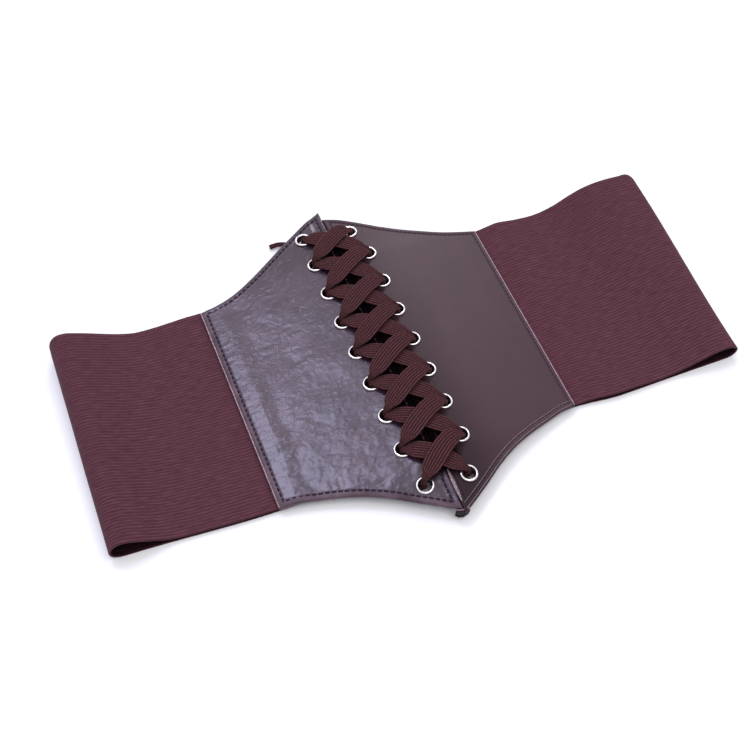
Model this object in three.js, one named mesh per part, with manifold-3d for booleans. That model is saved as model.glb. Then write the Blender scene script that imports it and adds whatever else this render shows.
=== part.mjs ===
// A lace-up corset belt, lying flattened on its back: two faux-leather front panels that meet at
// the centre, a wide elastic band folded round at each side, a plain closure strip underneath,
// nine pairs of metal eyelets and one flat lace. Lengths are in millimetres, +X runs along the
// belt to the right, +Y to its upper edge and +Z up from the table.
import * as THREE from "three";
import { mergeVertices } from "three/addons/utils/BufferGeometryUtils.js";
import Module from "manifold-3d";

const wasm = await Module();
wasm.setup();

// Front panels
const PANEL_WIDTH = 82; // centre line to the outer edge, where the elastic is sewn on
const PANEL_CENTRE_HEIGHT = 208; // tip to tip at the centre line
const PANEL_SIDE_HEIGHT = 133; // at the outer edge
const PANEL_WALL = 2.2;
const PANEL_PARTING = 0.8; // between the two inner edges
const LEFT_PANEL_LIFT = 2.4; // the left panel lies this much further up than the right one
const RIDGE_RISE = 6.4; // the centre line stands this much above the outer edges
const TIP_DROOP = 2.6; // how far the tips hang below the ridge

// Elastic band
const ELASTIC_HEIGHT = 130;
const ELASTIC_WALL = 1.4;
const SEAM_LAP = 10; // the panel covers this much of the elastic
const LEFT_REACH = 168; // centre line to the left fold
const RIGHT_REACH_NEAR = 176; // centre line to the right fold at the lower edge
const RIGHT_REACH_FAR = 183; // and at the upper edge
const LEFT_LOOP_NEAR = 13.5; // height of each fold's loop above the table
const LEFT_LOOP_FAR = 19;
const RIGHT_LOOP_NEAR = 10.8;
const RIGHT_LOOP_FAR = 17.6;
const LEFT_SKEW = 4; // the left fold has slid this far towards the upper edge
const RIGHT_SKEW = 1;

// Closure strip under the middle of the back
const CLOSURE_WIDTH = 34;
const CLOSURE_WALL = 1.8;
const CLOSURE_HEIGHT = 130;
const BACK_PARTING = 1.2; // between the two ends of the elastic, over the strip
const BACK_RAMP = 12; // length over which the elastic climbs on to the strip

// Eyelets
const EYELET_PAIRS = 9;
const ROW_MARGIN = 16.8; // end eyelets to the panel's tips
const ROW_LIFT = 3; // the middle eyelet stands this much above the panel's middle
const EYELET_INSET = 15.3; // hole centre to the centre line
const HOLE_DIAMETER = 6.5;
const BARREL_WALL = 0.35;
const FLANGE_DIAMETER = 9.6;
const FLANGE_WALL = 0.8;
const FLANGE_SEAT = 0.4; // between a flange and the leather

// Lace
const LACE_WIDTH = 10.4;
const LACE_WALL = 1.2;
const STRAP_STAND = 2; // how far the lower strap of a crossing stands off the panel at its ends
const STRAP_BOW = 2; // how far the straps bow towards the upper edge
const HOP_WIDTH = 4.6; // the lace is bunched where it runs behind the panels
const HOP_WALL = 1.7;
const HOP_SIDE = 3.6; // the two runs behind a pair of eyelets lie this far to either side
const TAIL_LENGTH = 18.2; // behind the upper left tip, its end shows past the edge
const TAIL_RISE = 10; // towards the upper edge, over its length
const HIDDEN_TAIL_LENGTH = 14;

const CLEARANCE = 0.3;

// Outline of a panel. across runs from the centre line to the outer edge; the other columns are
// shares of how much the centre stands out past the outer edge's corners.
const PANEL_EDGE = [
  { across: 0.0, leftTop: 1.1, rightTop: 1.0, bottom: 0.99 },
  { across: 0.1, leftTop: 1.02, rightTop: 0.93, bottom: 0.85 },
  { across: 0.22, leftTop: 0.87, rightTop: 0.78, bottom: 0.68 },
  { across: 0.35, leftTop: 0.69, rightTop: 0.59, bottom: 0.49 },
  { across: 0.48, leftTop: 0.49, rightTop: 0.42, bottom: 0.33 },
  { across: 0.62, leftTop: 0.28, rightTop: 0.27, bottom: 0.2 },
  { across: 0.76, leftTop: 0.11, rightTop: 0.14, bottom: 0.1 },
  { across: 0.88, leftTop: 0.02, rightTop: 0.06, bottom: 0.03 },
  { across: 1.0, leftTop: 0.0, rightTop: 0.0, bottom: 0.0 },
];

// Upper layer of the elastic from the seam out to its loop. run is a share of the way from the
// seam to the fold, the others are shares of the loop's height over the flat stretch.
const ELASTIC_RISE = [
  { run: 0.12, leftNear: 0.02, leftFar: 0.03, rightNear: 0.14, rightFar: 0.18 },
  { run: 0.25, leftNear: 0.02, leftFar: 0.02, rightNear: 0.16, rightFar: 0.1 },
  { run: 0.38, leftNear: 0.02, leftFar: 0.02, rightNear: 0.12, rightFar: 0.13 },
  { run: 0.48, leftNear: 0.02, leftFar: 0.06, rightNear: 0.06, rightFar: 0.35 },
  { run: 0.57, leftNear: 0.03, leftFar: 0.22, rightNear: 0.08, rightFar: 0.66 },
  { run: 0.66, leftNear: 0.12, leftFar: 0.43, rightNear: 0.25, rightFar: 0.9 },
  { run: 0.75, leftNear: 0.42, leftFar: 0.66, rightNear: 0.58, rightFar: 1.0 },
  { run: 0.83, leftNear: 0.74, leftFar: 0.85, rightNear: 0.86, rightFar: 1.0 },
  { run: 0.9, leftNear: 0.95, leftFar: 0.98, rightNear: 1.0, rightFar: 0.96 },
];

// The fold itself, from the top of the loop round to the table. out is a share of the fold's
// depth, up a share of the loop's height.
const FOLD_DEPTH = 9;
const FOLD_TURN = [
  { out: 0.55, up: 0.95 },
  { out: 0.88, up: 0.76 },
  { out: 1.0, up: 0.46 },
  { out: 0.86, up: 0.17 },
  { out: 0.5, up: 0.03 },
];

// How far the lace pulls the end eyelets of each row: towards the centre line, and upwards.
const END_PULL = {
  left: { top: { inward: 0, upward: 0 }, bottom: { inward: 2.8, upward: -1 } },
  right: { top: { inward: 4.2, upward: -2 }, bottom: { inward: 5.2, upward: 0 } },
};

// The two kinds of front strap, which are slack and stand in a low arch. along is a share of the
// way from the left hole to the right one, rise is a share of STRAP_STAND, aside is a share of
// STRAP_BOW, and spread widens the strap from bunched (0) to full (1).
const OVER_STRAP = [
  { along: 0.06, rise: 2, aside: 0.05, spread: 0.3 },
  { along: 0.14, rise: 2.2, aside: 0.25, spread: 0.72 },
  { along: 0.3, rise: 2.35, aside: 0.65, spread: 0.97 },
  { along: 0.5, rise: 2.35, aside: 1.1, spread: 1 },
  { along: 0.72, rise: 2.35, aside: 1.4, spread: 1 },
  { along: 0.87, rise: 2.3, aside: 1.1, spread: 0.92 },
  { along: 0.95, rise: 2.15, aside: 0.4, spread: 0.5 },
];
const UNDER_STRAP = [
  { along: 0.05, rise: 1, aside: 0.15, spread: 0.4 },
  { along: 0.13, rise: 1.1, aside: 0.6, spread: 0.85 },
  { along: 0.3, rise: 1.25, aside: 1.1, spread: 1 },
  { along: 0.5, rise: 1.3, aside: 1, spread: 1 },
  { along: 0.7, rise: 1.25, aside: 0.6, spread: 0.95 },
  { along: 0.86, rise: 1.125, aside: 0.25, spread: 0.7 },
  { along: 0.94, rise: 1, aside: 0.05, spread: 0.3 },
];
const THROUGH_TURN = 0.45; // a bunched strap turns this many bunch widths behind a rim
const THROUGH_CREST = 0.3; // and this many above it
const STRAP_FLATNESS = 0.8; // thickness over width of a bunched strap as it leaves a hole
const TURN_FLATNESS = 0.7; // and behind the panels
const HOP_STEPS = [0.08, 0.5, 0.92]; // shares of the way from hole to hole behind a panel
const BAR_STEPS = [0.1, 0.3, 0.7, 0.9];

// A tail bends towards the upper edge first and then runs outwards. Both are shares.
const TAIL_STEPS = [
  { along: 0.18, rise: 0.25 },
  { along: 0.45, rise: 0.72 },
  { along: 0.7, rise: 0.97 },
  { along: 1, rise: 1 },
];

const bunch = HOLE_DIAMETER / 2 - 2 * CLEARANCE; // two bunched straps share a hole
const bunchShift = (bunch + CLEARANCE) / 2;
const eyeletPitch = (PANEL_CENTRE_HEIGHT - 2 * ROW_MARGIN) / (EYELET_PAIRS - 1);
const barrelRadius = HOLE_DIAMETER / 2 + BARREL_WALL;
const panelHoleRadius = barrelRadius + CLEARANCE;
const seamUnder = 2 * (ELASTIC_WALL + CLEARANCE); // underside of a panel at its outer edge
const halfSide = PANEL_SIDE_HEIGHT / 2;
const sideRise = (PANEL_CENTRE_HEIGHT - PANEL_SIDE_HEIGHT) / 2;

function smooth(t) {
  const c = THREE.MathUtils.clamp(t, 0, 1);
  return c * c * (3 - 2 * c);
}

// Reads one column of a table at any place between its rows.
function lookUp(table, key, column, at) {
  const last = table.length - 1;
  let i = 0;
  while (i < last - 1 && at > table[i + 1][key]) i += 1;
  const low = table[i];
  const high = table[i + 1];
  const t = (at - low[key]) / (high[key] - low[key]);
  return THREE.MathUtils.lerp(low[column], high[column], THREE.MathUtils.clamp(t, 0, 1));
}

function panelUnder(x, y) {
  const inward = 1 - Math.abs(x) / PANEL_WIDTH;
  const past = (Math.abs(y) - halfSide) / sideRise;
  return seamUnder + RIDGE_RISE * inward - TIP_DROOP * smooth(past);
}

// Turns vertex and triangle lists into a geometry whose faces point outwards.
function closedGeometry(points, triangles) {
  const flat = points.flatMap((p) => [p.x, p.y, p.z]);
  const across = new THREE.Vector3();
  let volume = 0;
  for (const [a, b, c] of triangles) {
    volume += points[a].dot(across.crossVectors(points[b], points[c]));
  }
  const turned = volume < 0 ? triangles.map(([a, b, c]) => [a, c, b]) : triangles;
  const geometry = new THREE.BufferGeometry();
  geometry.setAttribute("position", new THREE.Float32BufferAttribute(flat, 3));
  geometry.setIndex(turned.flat());
  return geometry;
}

// A sheet with an outer and an inner face. pointAt(i, j, face) gives the corners, face is 1 or -1.
function sheetGeometry(columns, rows, pointAt) {
  const points = [];
  for (const face of [1, -1]) {
    for (let i = 0; i <= columns; i += 1) {
      for (let j = 0; j <= rows; j += 1) points.push(pointAt(i, j, face));
    }
  }
  const layer = (columns + 1) * (rows + 1);
  const outer = (i, j) => i * (rows + 1) + j;
  const inner = (i, j) => layer + outer(i, j);
  const triangles = [];
  const quad = (a, b, c, d) => triangles.push([a, b, c], [a, c, d]);
  for (let i = 0; i < columns; i += 1) {
    for (let j = 0; j < rows; j += 1) {
      quad(outer(i, j), outer(i + 1, j), outer(i + 1, j + 1), outer(i, j + 1));
      quad(inner(i, j), inner(i, j + 1), inner(i + 1, j + 1), inner(i + 1, j));
    }
    quad(inner(i, 0), inner(i + 1, 0), outer(i + 1, 0), outer(i, 0));
    quad(outer(i, rows), outer(i + 1, rows), inner(i + 1, rows), inner(i, rows));
  }
  for (let j = 0; j < rows; j += 1) {
    quad(outer(0, j), outer(0, j + 1), inner(0, j + 1), inner(0, j));
    quad(inner(columns, j), inner(columns, j + 1), outer(columns, j + 1), outer(columns, j));
  }
  return closedGeometry(points, triangles);
}

function solidOf(geometry) {
  const bare = geometry.index ? geometry.clone() : geometry;
  bare.deleteAttribute("normal");
  bare.deleteAttribute("uv");
  const merged = mergeVertices(bare);
  const vertProperties = new Float32Array(merged.attributes.position.array);
  const triVerts = new Uint32Array(merged.index.array);
  return new wasm.Manifold(new wasm.Mesh({ numProp: 3, vertProperties, triVerts }));
}

function geometryOf(solid) {
  const mesh = solid.getMesh();
  const geometry = new THREE.BufferGeometry();
  geometry.setAttribute("position", new THREE.BufferAttribute(mesh.vertProperties, 3));
  geometry.setIndex(new THREE.BufferAttribute(mesh.triVerts, 1));
  return geometry;
}

const leather = { color: 0x4c3d47, roughness: 0.4, metalness: 0 };
const elastic = { color: 0x54323e, roughness: 0.85, metalness: 0 };
const laceWeave = { color: 0x472a31, roughness: 0.8, metalness: 0 };
const bright = { color: 0xd9d6d8, roughness: 0.2, metalness: 1 };

const belt = new THREE.Group();

function addPiece(name, geometry, finish) {
  const material = new THREE.MeshStandardMaterial({ ...finish });
  const mesh = new THREE.Mesh(geometry, material);
  mesh.name = name;
  belt.add(mesh);
  return mesh;
}

// side is -1 for the left half of the belt and 1 for the right half; pair counts from the top.
function panelLift(side) {
  return side < 0 ? LEFT_PANEL_LIFT : 0;
}

function eyeletPlace(side, pair) {
  const row = side < 0 ? END_PULL.left : END_PULL.right;
  const ends = { 0: row.top, [EYELET_PAIRS - 1]: row.bottom };
  const pull = ends[pair] ?? { inward: 0, upward: 0 };
  const x = side * (EYELET_INSET - pull.inward);
  const off = (EYELET_PAIRS - 1) / 2 - pair;
  const y = ROW_LIFT + panelLift(side) + off * eyeletPitch + pull.upward;
  return new THREE.Vector3(x, y, panelUnder(x, y));
}

// The direction square to the panel at a place, which an eyelet there stands along.
function panelUp(at) {
  const step = 1;
  const slopeX = (panelUnder(at.x + step, at.y) - panelUnder(at.x - step, at.y)) / (2 * step);
  const slopeY = (panelUnder(at.x, at.y + step) - panelUnder(at.x, at.y - step)) / (2 * step);
  return new THREE.Vector3(-slopeX, -slopeY, 1).normalize();
}

const EYELET_SIDES = 12;
const PANEL_COLUMNS = 9;
const PANEL_ROWS = 14;

function addPanel(side, name) {
  const columns = PANEL_COLUMNS;
  const rows = PANEL_ROWS;
  const top = side < 0 ? "leftTop" : "rightTop";
  const geometry = sheetGeometry(columns, rows, (i, j, face) => {
    const across = i / columns;
    const x = side * THREE.MathUtils.lerp(PANEL_PARTING / 2, PANEL_WIDTH, across);
    const high = halfSide + sideRise * lookUp(PANEL_EDGE, "across", top, across);
    const low = -halfSide - sideRise * lookUp(PANEL_EDGE, "across", "bottom", across);
    const y = THREE.MathUtils.lerp(low, high, j / rows) + panelLift(side) * (1 - across);
    return new THREE.Vector3(x, y, panelUnder(x, y) + (face > 0 ? PANEL_WALL : 0));
  });
  let panel = solidOf(geometry);
  for (let pair = 0; pair < EYELET_PAIRS; pair += 1) {
    const at = eyeletPlace(side, pair);
    const length = 8 * PANEL_WALL; // well past both faces
    const drill = new THREE.CylinderGeometry(panelHoleRadius, panelHoleRadius, length, EYELET_SIDES);
    drill.rotateX(Math.PI / 2);
    const lean = new THREE.Quaternion().setFromUnitVectors(new THREE.Vector3(0, 0, 1), panelUp(at));
    drill.applyQuaternion(lean);
    drill.translate(at.x, at.y, at.z);
    panel = panel.subtract(solidOf(drill));
  }
  addPiece(name, geometryOf(panel), leather);
}

// Points along the middle of the elastic's wall, from under the panel, over the loop, round the
// fold and back underneath to the centre. far is 0 at the lower edge and 1 at the upper one.
function elasticLine(side, far) {
  const loops = side < 0 ? [LEFT_LOOP_NEAR, LEFT_LOOP_FAR] : [RIGHT_LOOP_NEAR, RIGHT_LOOP_FAR];
  const reaches = side < 0 ? [LEFT_REACH, LEFT_REACH] : [RIGHT_REACH_NEAR, RIGHT_REACH_FAR];
  const half = ELASTIC_WALL / 2;
  const flat = ELASTIC_WALL + CLEARANCE + half;
  const loopTop = THREE.MathUtils.lerp(loops[0], loops[1], far) - half;
  const reach = THREE.MathUtils.lerp(reaches[0], reaches[1], smooth(far)) - half;
  const near = side < 0 ? "leftNear" : "rightNear";
  const distant = side < 0 ? "leftFar" : "rightFar";
  const line = [];
  for (const step of [0, 0.5, 1]) {
    const x = PANEL_WIDTH - SEAM_LAP * (1 - step);
    line.push([x, panelUnder(x, 0) - CLEARANCE - half]);
  }
  for (const row of ELASTIC_RISE) {
    const share = THREE.MathUtils.lerp(row[near], row[distant], far);
    const x = THREE.MathUtils.lerp(PANEL_WIDTH, reach, row.run);
    line.push([x, THREE.MathUtils.lerp(flat, loopTop, share)]);
  }
  for (const row of FOLD_TURN) {
    const x = reach - FOLD_DEPTH * (1 - row.out);
    line.push([x, THREE.MathUtils.lerp(half, loopTop, row.up)]);
  }
  const onStrip = CLOSURE_WALL + CLEARANCE + half;
  const stripEdge = CLOSURE_WIDTH / 2;
  line.push([reach - FOLD_DEPTH, half]);
  line.push([(reach - FOLD_DEPTH + stripEdge + BACK_RAMP) / 2, half]);
  line.push([stripEdge + BACK_RAMP, half]);
  line.push([stripEdge + BACK_RAMP / 2, (half + onStrip) / 2]);
  line.push([stripEdge + CLEARANCE, onStrip]);
  line.push([BACK_PARTING / 2, onStrip]);
  return line.map(([x, z]) => new THREE.Vector2(side * x, z));
}

const SEAM_POINTS = 3; // at the start of the line, under the panel
const BACK_POINTS = 6; // at its end, along the back
const HALFWAY_NEAR = 9 / 16; // weights that put a point halfway along a smooth curve
const HALFWAY_FAR = 1 / 16;
const ELASTIC_ROWS = 6;

// The wall's middle line as a dense polyline: two chords to each stretch of the loop and fold.
function elasticStations(side, far) {
  const line = elasticLine(side, far);
  const stations = [];
  const bendFirst = SEAM_POINTS;
  const bendLast = line.length - BACK_POINTS;
  for (let i = 0; i < line.length; i += 1) {
    stations.push(line[i].clone());
    if (i < bendFirst || i >= bendLast) continue;
    const [p, a, b, q] = [line[i - 1], line[i], line[i + 1], line[i + 2]];
    const middle = a.clone().add(b).multiplyScalar(HALFWAY_NEAR);
    stations.push(middle.sub(p.clone().add(q).multiplyScalar(HALFWAY_FAR)));
  }
  return stations;
}

function elasticSkew(side, x) {
  const slide = side < 0 ? LEFT_SKEW : RIGHT_SKEW;
  const reach = side < 0 ? LEFT_REACH : RIGHT_REACH_NEAR;
  return slide * smooth((Math.abs(x) - PANEL_WIDTH) / (reach - PANEL_WIDTH));
}

function addElastic(side, name) {
  const rows = ELASTIC_ROWS;
  const lines = [];
  for (let j = 0; j <= rows; j += 1) lines.push(elasticStations(side, j / rows));
  const columns = lines[0].length - 1;
  const geometry = sheetGeometry(columns, rows, (i, j, face) => {
    const line = lines[j];
    const before = line[Math.max(i - 1, 0)];
    const after = line[Math.min(i + 1, columns)];
    const away = after.clone().sub(before).normalize();
    const offset = (face * side * ELASTIC_WALL) / 2;
    const x = line[i].x - away.y * offset;
    const z = line[i].y + away.x * offset;
    const y = (j / rows - 0.5) * ELASTIC_HEIGHT + elasticSkew(side, line[i].x);
    return new THREE.Vector3(x, y, z);
  });
  addPiece(name, geometry, elastic);
}

// An eyelet: a barrel through the panel with a rounded flange above and a flat one below.
function addEyelet(side, pair) {
  const inner = HOLE_DIAMETER / 2;
  const rim = FLANGE_DIAMETER / 2;
  const top = PANEL_WALL / 2 + FLANGE_SEAT;
  const profile = [
    [inner, -top - FLANGE_WALL],
    [rim - FLANGE_WALL / 2, -top - FLANGE_WALL],
    [rim - FLANGE_WALL / 2, -top],
    [barrelRadius, -top],
    [barrelRadius, top],
    [rim, top],
    [rim - FLANGE_WALL / 3, top + FLANGE_WALL * 0.8],
    [(inner + rim) / 2, top + FLANGE_WALL],
    [inner, top + FLANGE_WALL / 2],
    [inner, -top - FLANGE_WALL],
  ].map(([r, z]) => new THREE.Vector2(r, z));
  const geometry = new THREE.LatheGeometry(profile, EYELET_SIDES);
  geometry.rotateX(Math.PI / 2);
  const at = eyeletPlace(side, pair);
  const hand = side < 0 ? "left" : "right";
  const ring = addPiece(`eyelet_${hand}_${pair + 1}`, geometryOf(solidOf(geometry)), bright);
  ring.position.copy(at).addScaledVector(panelUp(at), PANEL_WALL / 2);
  ring.quaternion.setFromUnitVectors(new THREE.Vector3(0, 0, 1), panelUp(at));
}

// The lace as a list of stations: a place, a width, a thickness and the direction of its width.
const stations = [];

function addStation(place, width, wall, across) {
  const last = stations[stations.length - 1];
  const turned = last && last.across.dot(across) < 0 ? across.clone().negate() : across.clone();
  stations.push({ place, width, wall, across: turned.normalize() });
}

// Where one strand passes a hole: the crossing straps take the half of the hole that they head
// for, and the straps beneath take the other half.
function bunchPlace(side, pair, strand) {
  const half = side < 0 ? strand : -strand;
  const hole = eyeletPlace(side, pair);
  const up = panelUp(hole);
  const upwards = new THREE.Vector3(0, up.z, -up.y).normalize();
  return { place: hole.addScaledVector(upwards, half * bunchShift), up };
}

const OVER = 1;
const UNDER = -1;
const rimTop = PANEL_WALL + FLANGE_SEAT + FLANGE_WALL;
const rimBottom = FLANGE_SEAT + FLANGE_WALL;

const sidewise = new THREE.Vector3(1, 0, 0);
const lengthwise = new THREE.Vector3(0, 1, 0);

// A strap across the front, with its two ends bunched through their holes. after is the
// direction of the lace's width in the run that follows behind the panels.
function addStrap(from, to, strand, after) {
  const start = bunchPlace(...from, strand);
  const end = bunchPlace(...to, strand);
  const span = end.place.clone().sub(start.place).setZ(0);
  const across = new THREE.Vector3(-span.y, span.x, 0).normalize();
  const before = stations[stations.length - 1].across;
  const upwards = across.clone().multiplyScalar(Math.sign(across.y));
  const rightwards = from[0] < 0;
  const rows = strand === OVER ? [...OVER_STRAP] : [...UNDER_STRAP];
  if (!rightwards) rows.reverse();
  const inHole = (hole, depth, twist) => {
    const place = hole.place.clone().addScaledVector(hole.up, depth);
    addStation(place, bunch, bunch, twist);
  };
  const behind = -rimBottom - THROUGH_TURN * bunch;
  const crest = rimTop + THROUGH_CREST * bunch;
  const onTop = (row) => {
    const along = rightwards ? row.along : 1 - row.along;
    const place = start.place.clone().lerp(end.place, along);
    place.addScaledVector(upwards, STRAP_BOW * row.aside);
    place.z = panelUnder(place.x, place.y) + PANEL_WALL + CLEARANCE + STRAP_STAND * row.rise;
    const width = THREE.MathUtils.lerp(bunch, LACE_WIDTH, row.spread);
    const wall = THREE.MathUtils.lerp(bunch * STRAP_FLATNESS, LACE_WALL, smooth(row.spread));
    addStation(place, width, wall, across);
  };
  inHole(start, behind, before);
  inHole(start, PANEL_WALL / 2, before);
  inHole(start, crest, across);
  rows.forEach(onTop);
  inHole(end, crest, across);
  inHole(end, PANEL_WALL / 2, after);
  inHole(end, behind, after);
}

const behindDrop = rimBottom + CLEARANCE + bunch / 2;

// A run of the lace behind the panels, flatter in its middle than at the holes it joins.
function addRun(start, end, steps, aside, across) {
  steps.forEach((along, step) => {
    const place = start.clone().lerp(end, along);
    place.x += aside;
    place.z = panelUnder(place.x, place.y) - behindDrop;
    const middle = step > 0 && step < steps.length - 1;
    const wall = middle ? HOP_WALL : bunch * TURN_FLATNESS;
    addStation(place, middle ? HOP_WIDTH : bunch, wall, across);
  });
}

// From one eyelet to its neighbour below or above. The crossing strand keeps to the left.
function addHop(side, fromPair, toPair, strand) {
  const start = bunchPlace(side, fromPair, strand).place;
  const end = bunchPlace(side, toPair, strand).place;
  addRun(start, end, HOP_STEPS, -strand * HOP_SIDE, sidewise);
}

// Across from the left row to the right one, where the strands change over.
function addBar(pair) {
  const start = bunchPlace(-1, pair, UNDER).place;
  const end = bunchPlace(1, pair, OVER).place;
  addRun(start, end, BAR_STEPS, 0, lengthwise);
}

// A tail leaves its eyelet behind the panel and runs outwards, the first one past the edge.
function tailPlaces(side, strand, length, rise) {
  const hole = bunchPlace(side, 0, strand).place;
  return TAIL_STEPS.map((step) => {
    const place = hole.clone();
    place.x += side * length * step.along;
    place.y += rise * step.rise;
    const x = Math.min(Math.abs(place.x), PANEL_WIDTH);
    place.z = panelUnder(x, place.y) - behindDrop;
    return place;
  });
}

function addLace() {
  const left = -1;
  const right = 1;
  const tail = tailPlaces(left, UNDER, TAIL_LENGTH, TAIL_RISE).reverse();
  for (const place of tail) addStation(place, bunch, bunch * TURN_FLATNESS, lengthwise);
  for (let k = 0; k < EYELET_PAIRS - 1; k += 1) {
    const even = k % 2 === 0;
    const leftHole = [left, k];
    const rightHole = [right, k + 1];
    const last = k === EYELET_PAIRS - 2;
    const after = last ? lengthwise : sidewise;
    addStrap(even ? leftHole : rightHole, even ? rightHole : leftHole, UNDER, after);
    if (last) break;
    if (even) addHop(right, k + 1, k + 2, UNDER);
    else addHop(left, k, k + 1, UNDER);
  }
  const lastStrap = EYELET_PAIRS - 2;
  addBar(lastStrap);
  for (let k = lastStrap; k >= 0; k -= 1) {
    const even = k % 2 === 0;
    const leftHole = [left, k + 1];
    const rightHole = [right, k];
    const after = k === 0 ? lengthwise : sidewise;
    addStrap(even ? leftHole : rightHole, even ? rightHole : leftHole, OVER, after);
    if (k === 0) break;
    if (even) addHop(right, k, k - 1, OVER);
    else addHop(left, k + 1, k, OVER);
  }
  for (const place of tailPlaces(right, OVER, HIDDEN_TAIL_LENGTH, 0)) {
    addStation(place, bunch, bunch * TURN_FLATNESS, lengthwise);
  }
  addPiece("lace", laceGeometry(), laceWeave);
}

const LACE_SECTION = [
  [0.5, 0],
  [0.34, 0.5],
  [-0.34, 0.5],
  [-0.5, 0],
  [-0.34, -0.5],
  [0.34, -0.5],
];

function laceGeometry() {
  const points = [];
  const triangles = [];
  const corners = LACE_SECTION.length;
  const last = stations.length - 1;
  stations.forEach((station, s) => {
    const before = stations[Math.max(s - 1, 0)].place;
    const after = stations[Math.min(s + 1, last)].place;
    const along = after.clone().sub(before).normalize();
    const across = station.across.clone();
    across.addScaledVector(along, -across.dot(along)).normalize();
    const away = new THREE.Vector3().crossVectors(along, across);
    for (const [w, t] of LACE_SECTION) {
      const corner = station.place.clone().addScaledVector(across, w * station.width);
      points.push(corner.addScaledVector(away, t * station.wall));
    }
    if (s === 0) return;
    const here = s * corners;
    for (let c = 0; c < corners; c += 1) {
      const next = (c + 1) % corners;
      triangles.push([here - corners + c, here - corners + next, here + next]);
      triangles.push([here - corners + c, here + next, here + c]);
    }
  });
  for (let c = 1; c < corners - 1; c += 1) {
    triangles.push([0, c + 1, c]);
    triangles.push([last * corners, last * corners + c, last * corners + c + 1]);
  }
  return closedGeometry(points, triangles);
}

for (const [side, hand] of [[-1, "left"], [1, "right"]]) {
  addPanel(side, `${hand}_panel`);
  addElastic(side, `${hand}_elastic`);
  for (let pair = 0; pair < EYELET_PAIRS; pair += 1) addEyelet(side, pair);
}

const strip = new THREE.BoxGeometry(CLOSURE_WIDTH, CLOSURE_HEIGHT, CLOSURE_WALL);
addPiece("back_closure", strip, leather).position.z = CLOSURE_WALL / 2;
addLace();

// The origin is the middle of the space that the belt takes up, at table level.
const room = new THREE.Box3().setFromObject(belt);
belt.position.set(-(room.min.x + room.max.x) / 2, -(room.min.y + room.max.y) / 2, 0);

export default belt;
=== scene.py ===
# %% [markdown]
# # A lace-up corset belt, laid flat
# The real belt is a fashion waist belt: two stiff panels of crinkled faux leather are laced
# together down the front, and a wide ribbed elastic runs round the back. Here it lies on its
# back, flattened, so that each side of the elastic turns back under itself in a soft loop.
# The CAD model gives the sizes and the places, and this script builds the visible surfaces.

import math

import bpy
import numpy as np
from mathutils import Matrix, Vector, noise


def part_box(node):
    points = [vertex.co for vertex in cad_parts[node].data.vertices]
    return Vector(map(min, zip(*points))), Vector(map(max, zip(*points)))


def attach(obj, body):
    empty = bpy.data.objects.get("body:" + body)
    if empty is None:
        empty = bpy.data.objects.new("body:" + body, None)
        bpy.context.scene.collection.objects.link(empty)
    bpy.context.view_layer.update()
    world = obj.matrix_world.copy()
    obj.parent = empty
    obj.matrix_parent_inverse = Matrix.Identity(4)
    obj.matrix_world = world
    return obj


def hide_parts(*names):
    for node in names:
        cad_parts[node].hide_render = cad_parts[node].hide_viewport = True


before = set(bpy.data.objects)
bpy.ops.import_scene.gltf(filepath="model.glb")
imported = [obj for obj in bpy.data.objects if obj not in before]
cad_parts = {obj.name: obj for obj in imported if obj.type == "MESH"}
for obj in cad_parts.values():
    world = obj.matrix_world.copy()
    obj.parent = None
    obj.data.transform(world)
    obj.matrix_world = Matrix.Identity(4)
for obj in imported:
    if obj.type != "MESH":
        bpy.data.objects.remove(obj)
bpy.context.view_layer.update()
print("nodes in the frame:", len(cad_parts))

# %% [markdown]
# Every shape below is worked out in millimetres from the line where the two front panels meet,
# since that is how a pattern cutter would draw the belt. Blender wants metres from the model's
# origin. The two differ by a shift, which the CAD boxes give: the closure strip is centred on
# that line, so its box tells where the line is.

# %% Where the belt's centre line is
MM = 0.001
strip_low, strip_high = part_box("back_closure")
CENTRE = [(strip_low[k] + strip_high[k]) / 2 / MM for k in (0, 1)]
print("centre line at x, y (mm):", [round(value, 2) for value in CENTRE])


def to_metres(points):
    moved = np.asarray(points, dtype=float) + (CENTRE[0], CENTRE[1], 0.0)
    return moved * MM


# %% [markdown]
# Pattern curves are given by a few points each. Straight lines between them would leave corners
# in the leather's edge, so one helper draws a smooth curve through them: at each point its
# slope is the average of its two neighbours' slopes, weighted by how near they are. Two small
# helpers go with it: a soft step from 0 to 1, and a tape measure laid along a row of points.

# %% A smooth curve through given points
def curve_through(knots, values, at):
    knots = np.asarray(knots, dtype=float)
    values = np.asarray(values, dtype=float)
    at = np.clip(np.asarray(at, dtype=float), knots[0], knots[-1])
    gaps = np.diff(knots)
    tail = (1,) * (values.ndim - 1)
    wide = gaps.reshape((-1,) + tail)
    slopes = np.diff(values, axis=0) / wide
    middle = (slopes[:-1] * wide[1:] + slopes[1:] * wide[:-1]) / (wide[1:] + wide[:-1])
    tangents = np.concatenate([slopes[:1], middle, slopes[-1:]])
    i = np.clip(np.searchsorted(knots, at, side="right") - 1, 0, len(gaps) - 1)
    gap = gaps[i].reshape((-1,) + tail)
    t = ((at - knots[i]) / gaps[i]).reshape((-1,) + tail)
    start = (2 * t**3 - 3 * t**2 + 1) * values[i] + (t**3 - 2 * t**2 + t) * gap * tangents[i]
    end = (3 * t**2 - 2 * t**3) * values[i + 1] + (t**3 - t**2) * gap * tangents[i + 1]
    return start + end


def smooth(t):
    held = np.clip(t, 0.0, 1.0)
    return held * held * (3 - 2 * held)


def lengths_along(points):
    steps = np.linalg.norm(np.diff(points, axis=0), axis=1)
    return np.concatenate([[0], np.cumsum(steps)])


print("half a unit along a curve through 0, 1, 0:", curve_through([0, 1, 2], [0, 1, 0], [0.5]))

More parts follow.
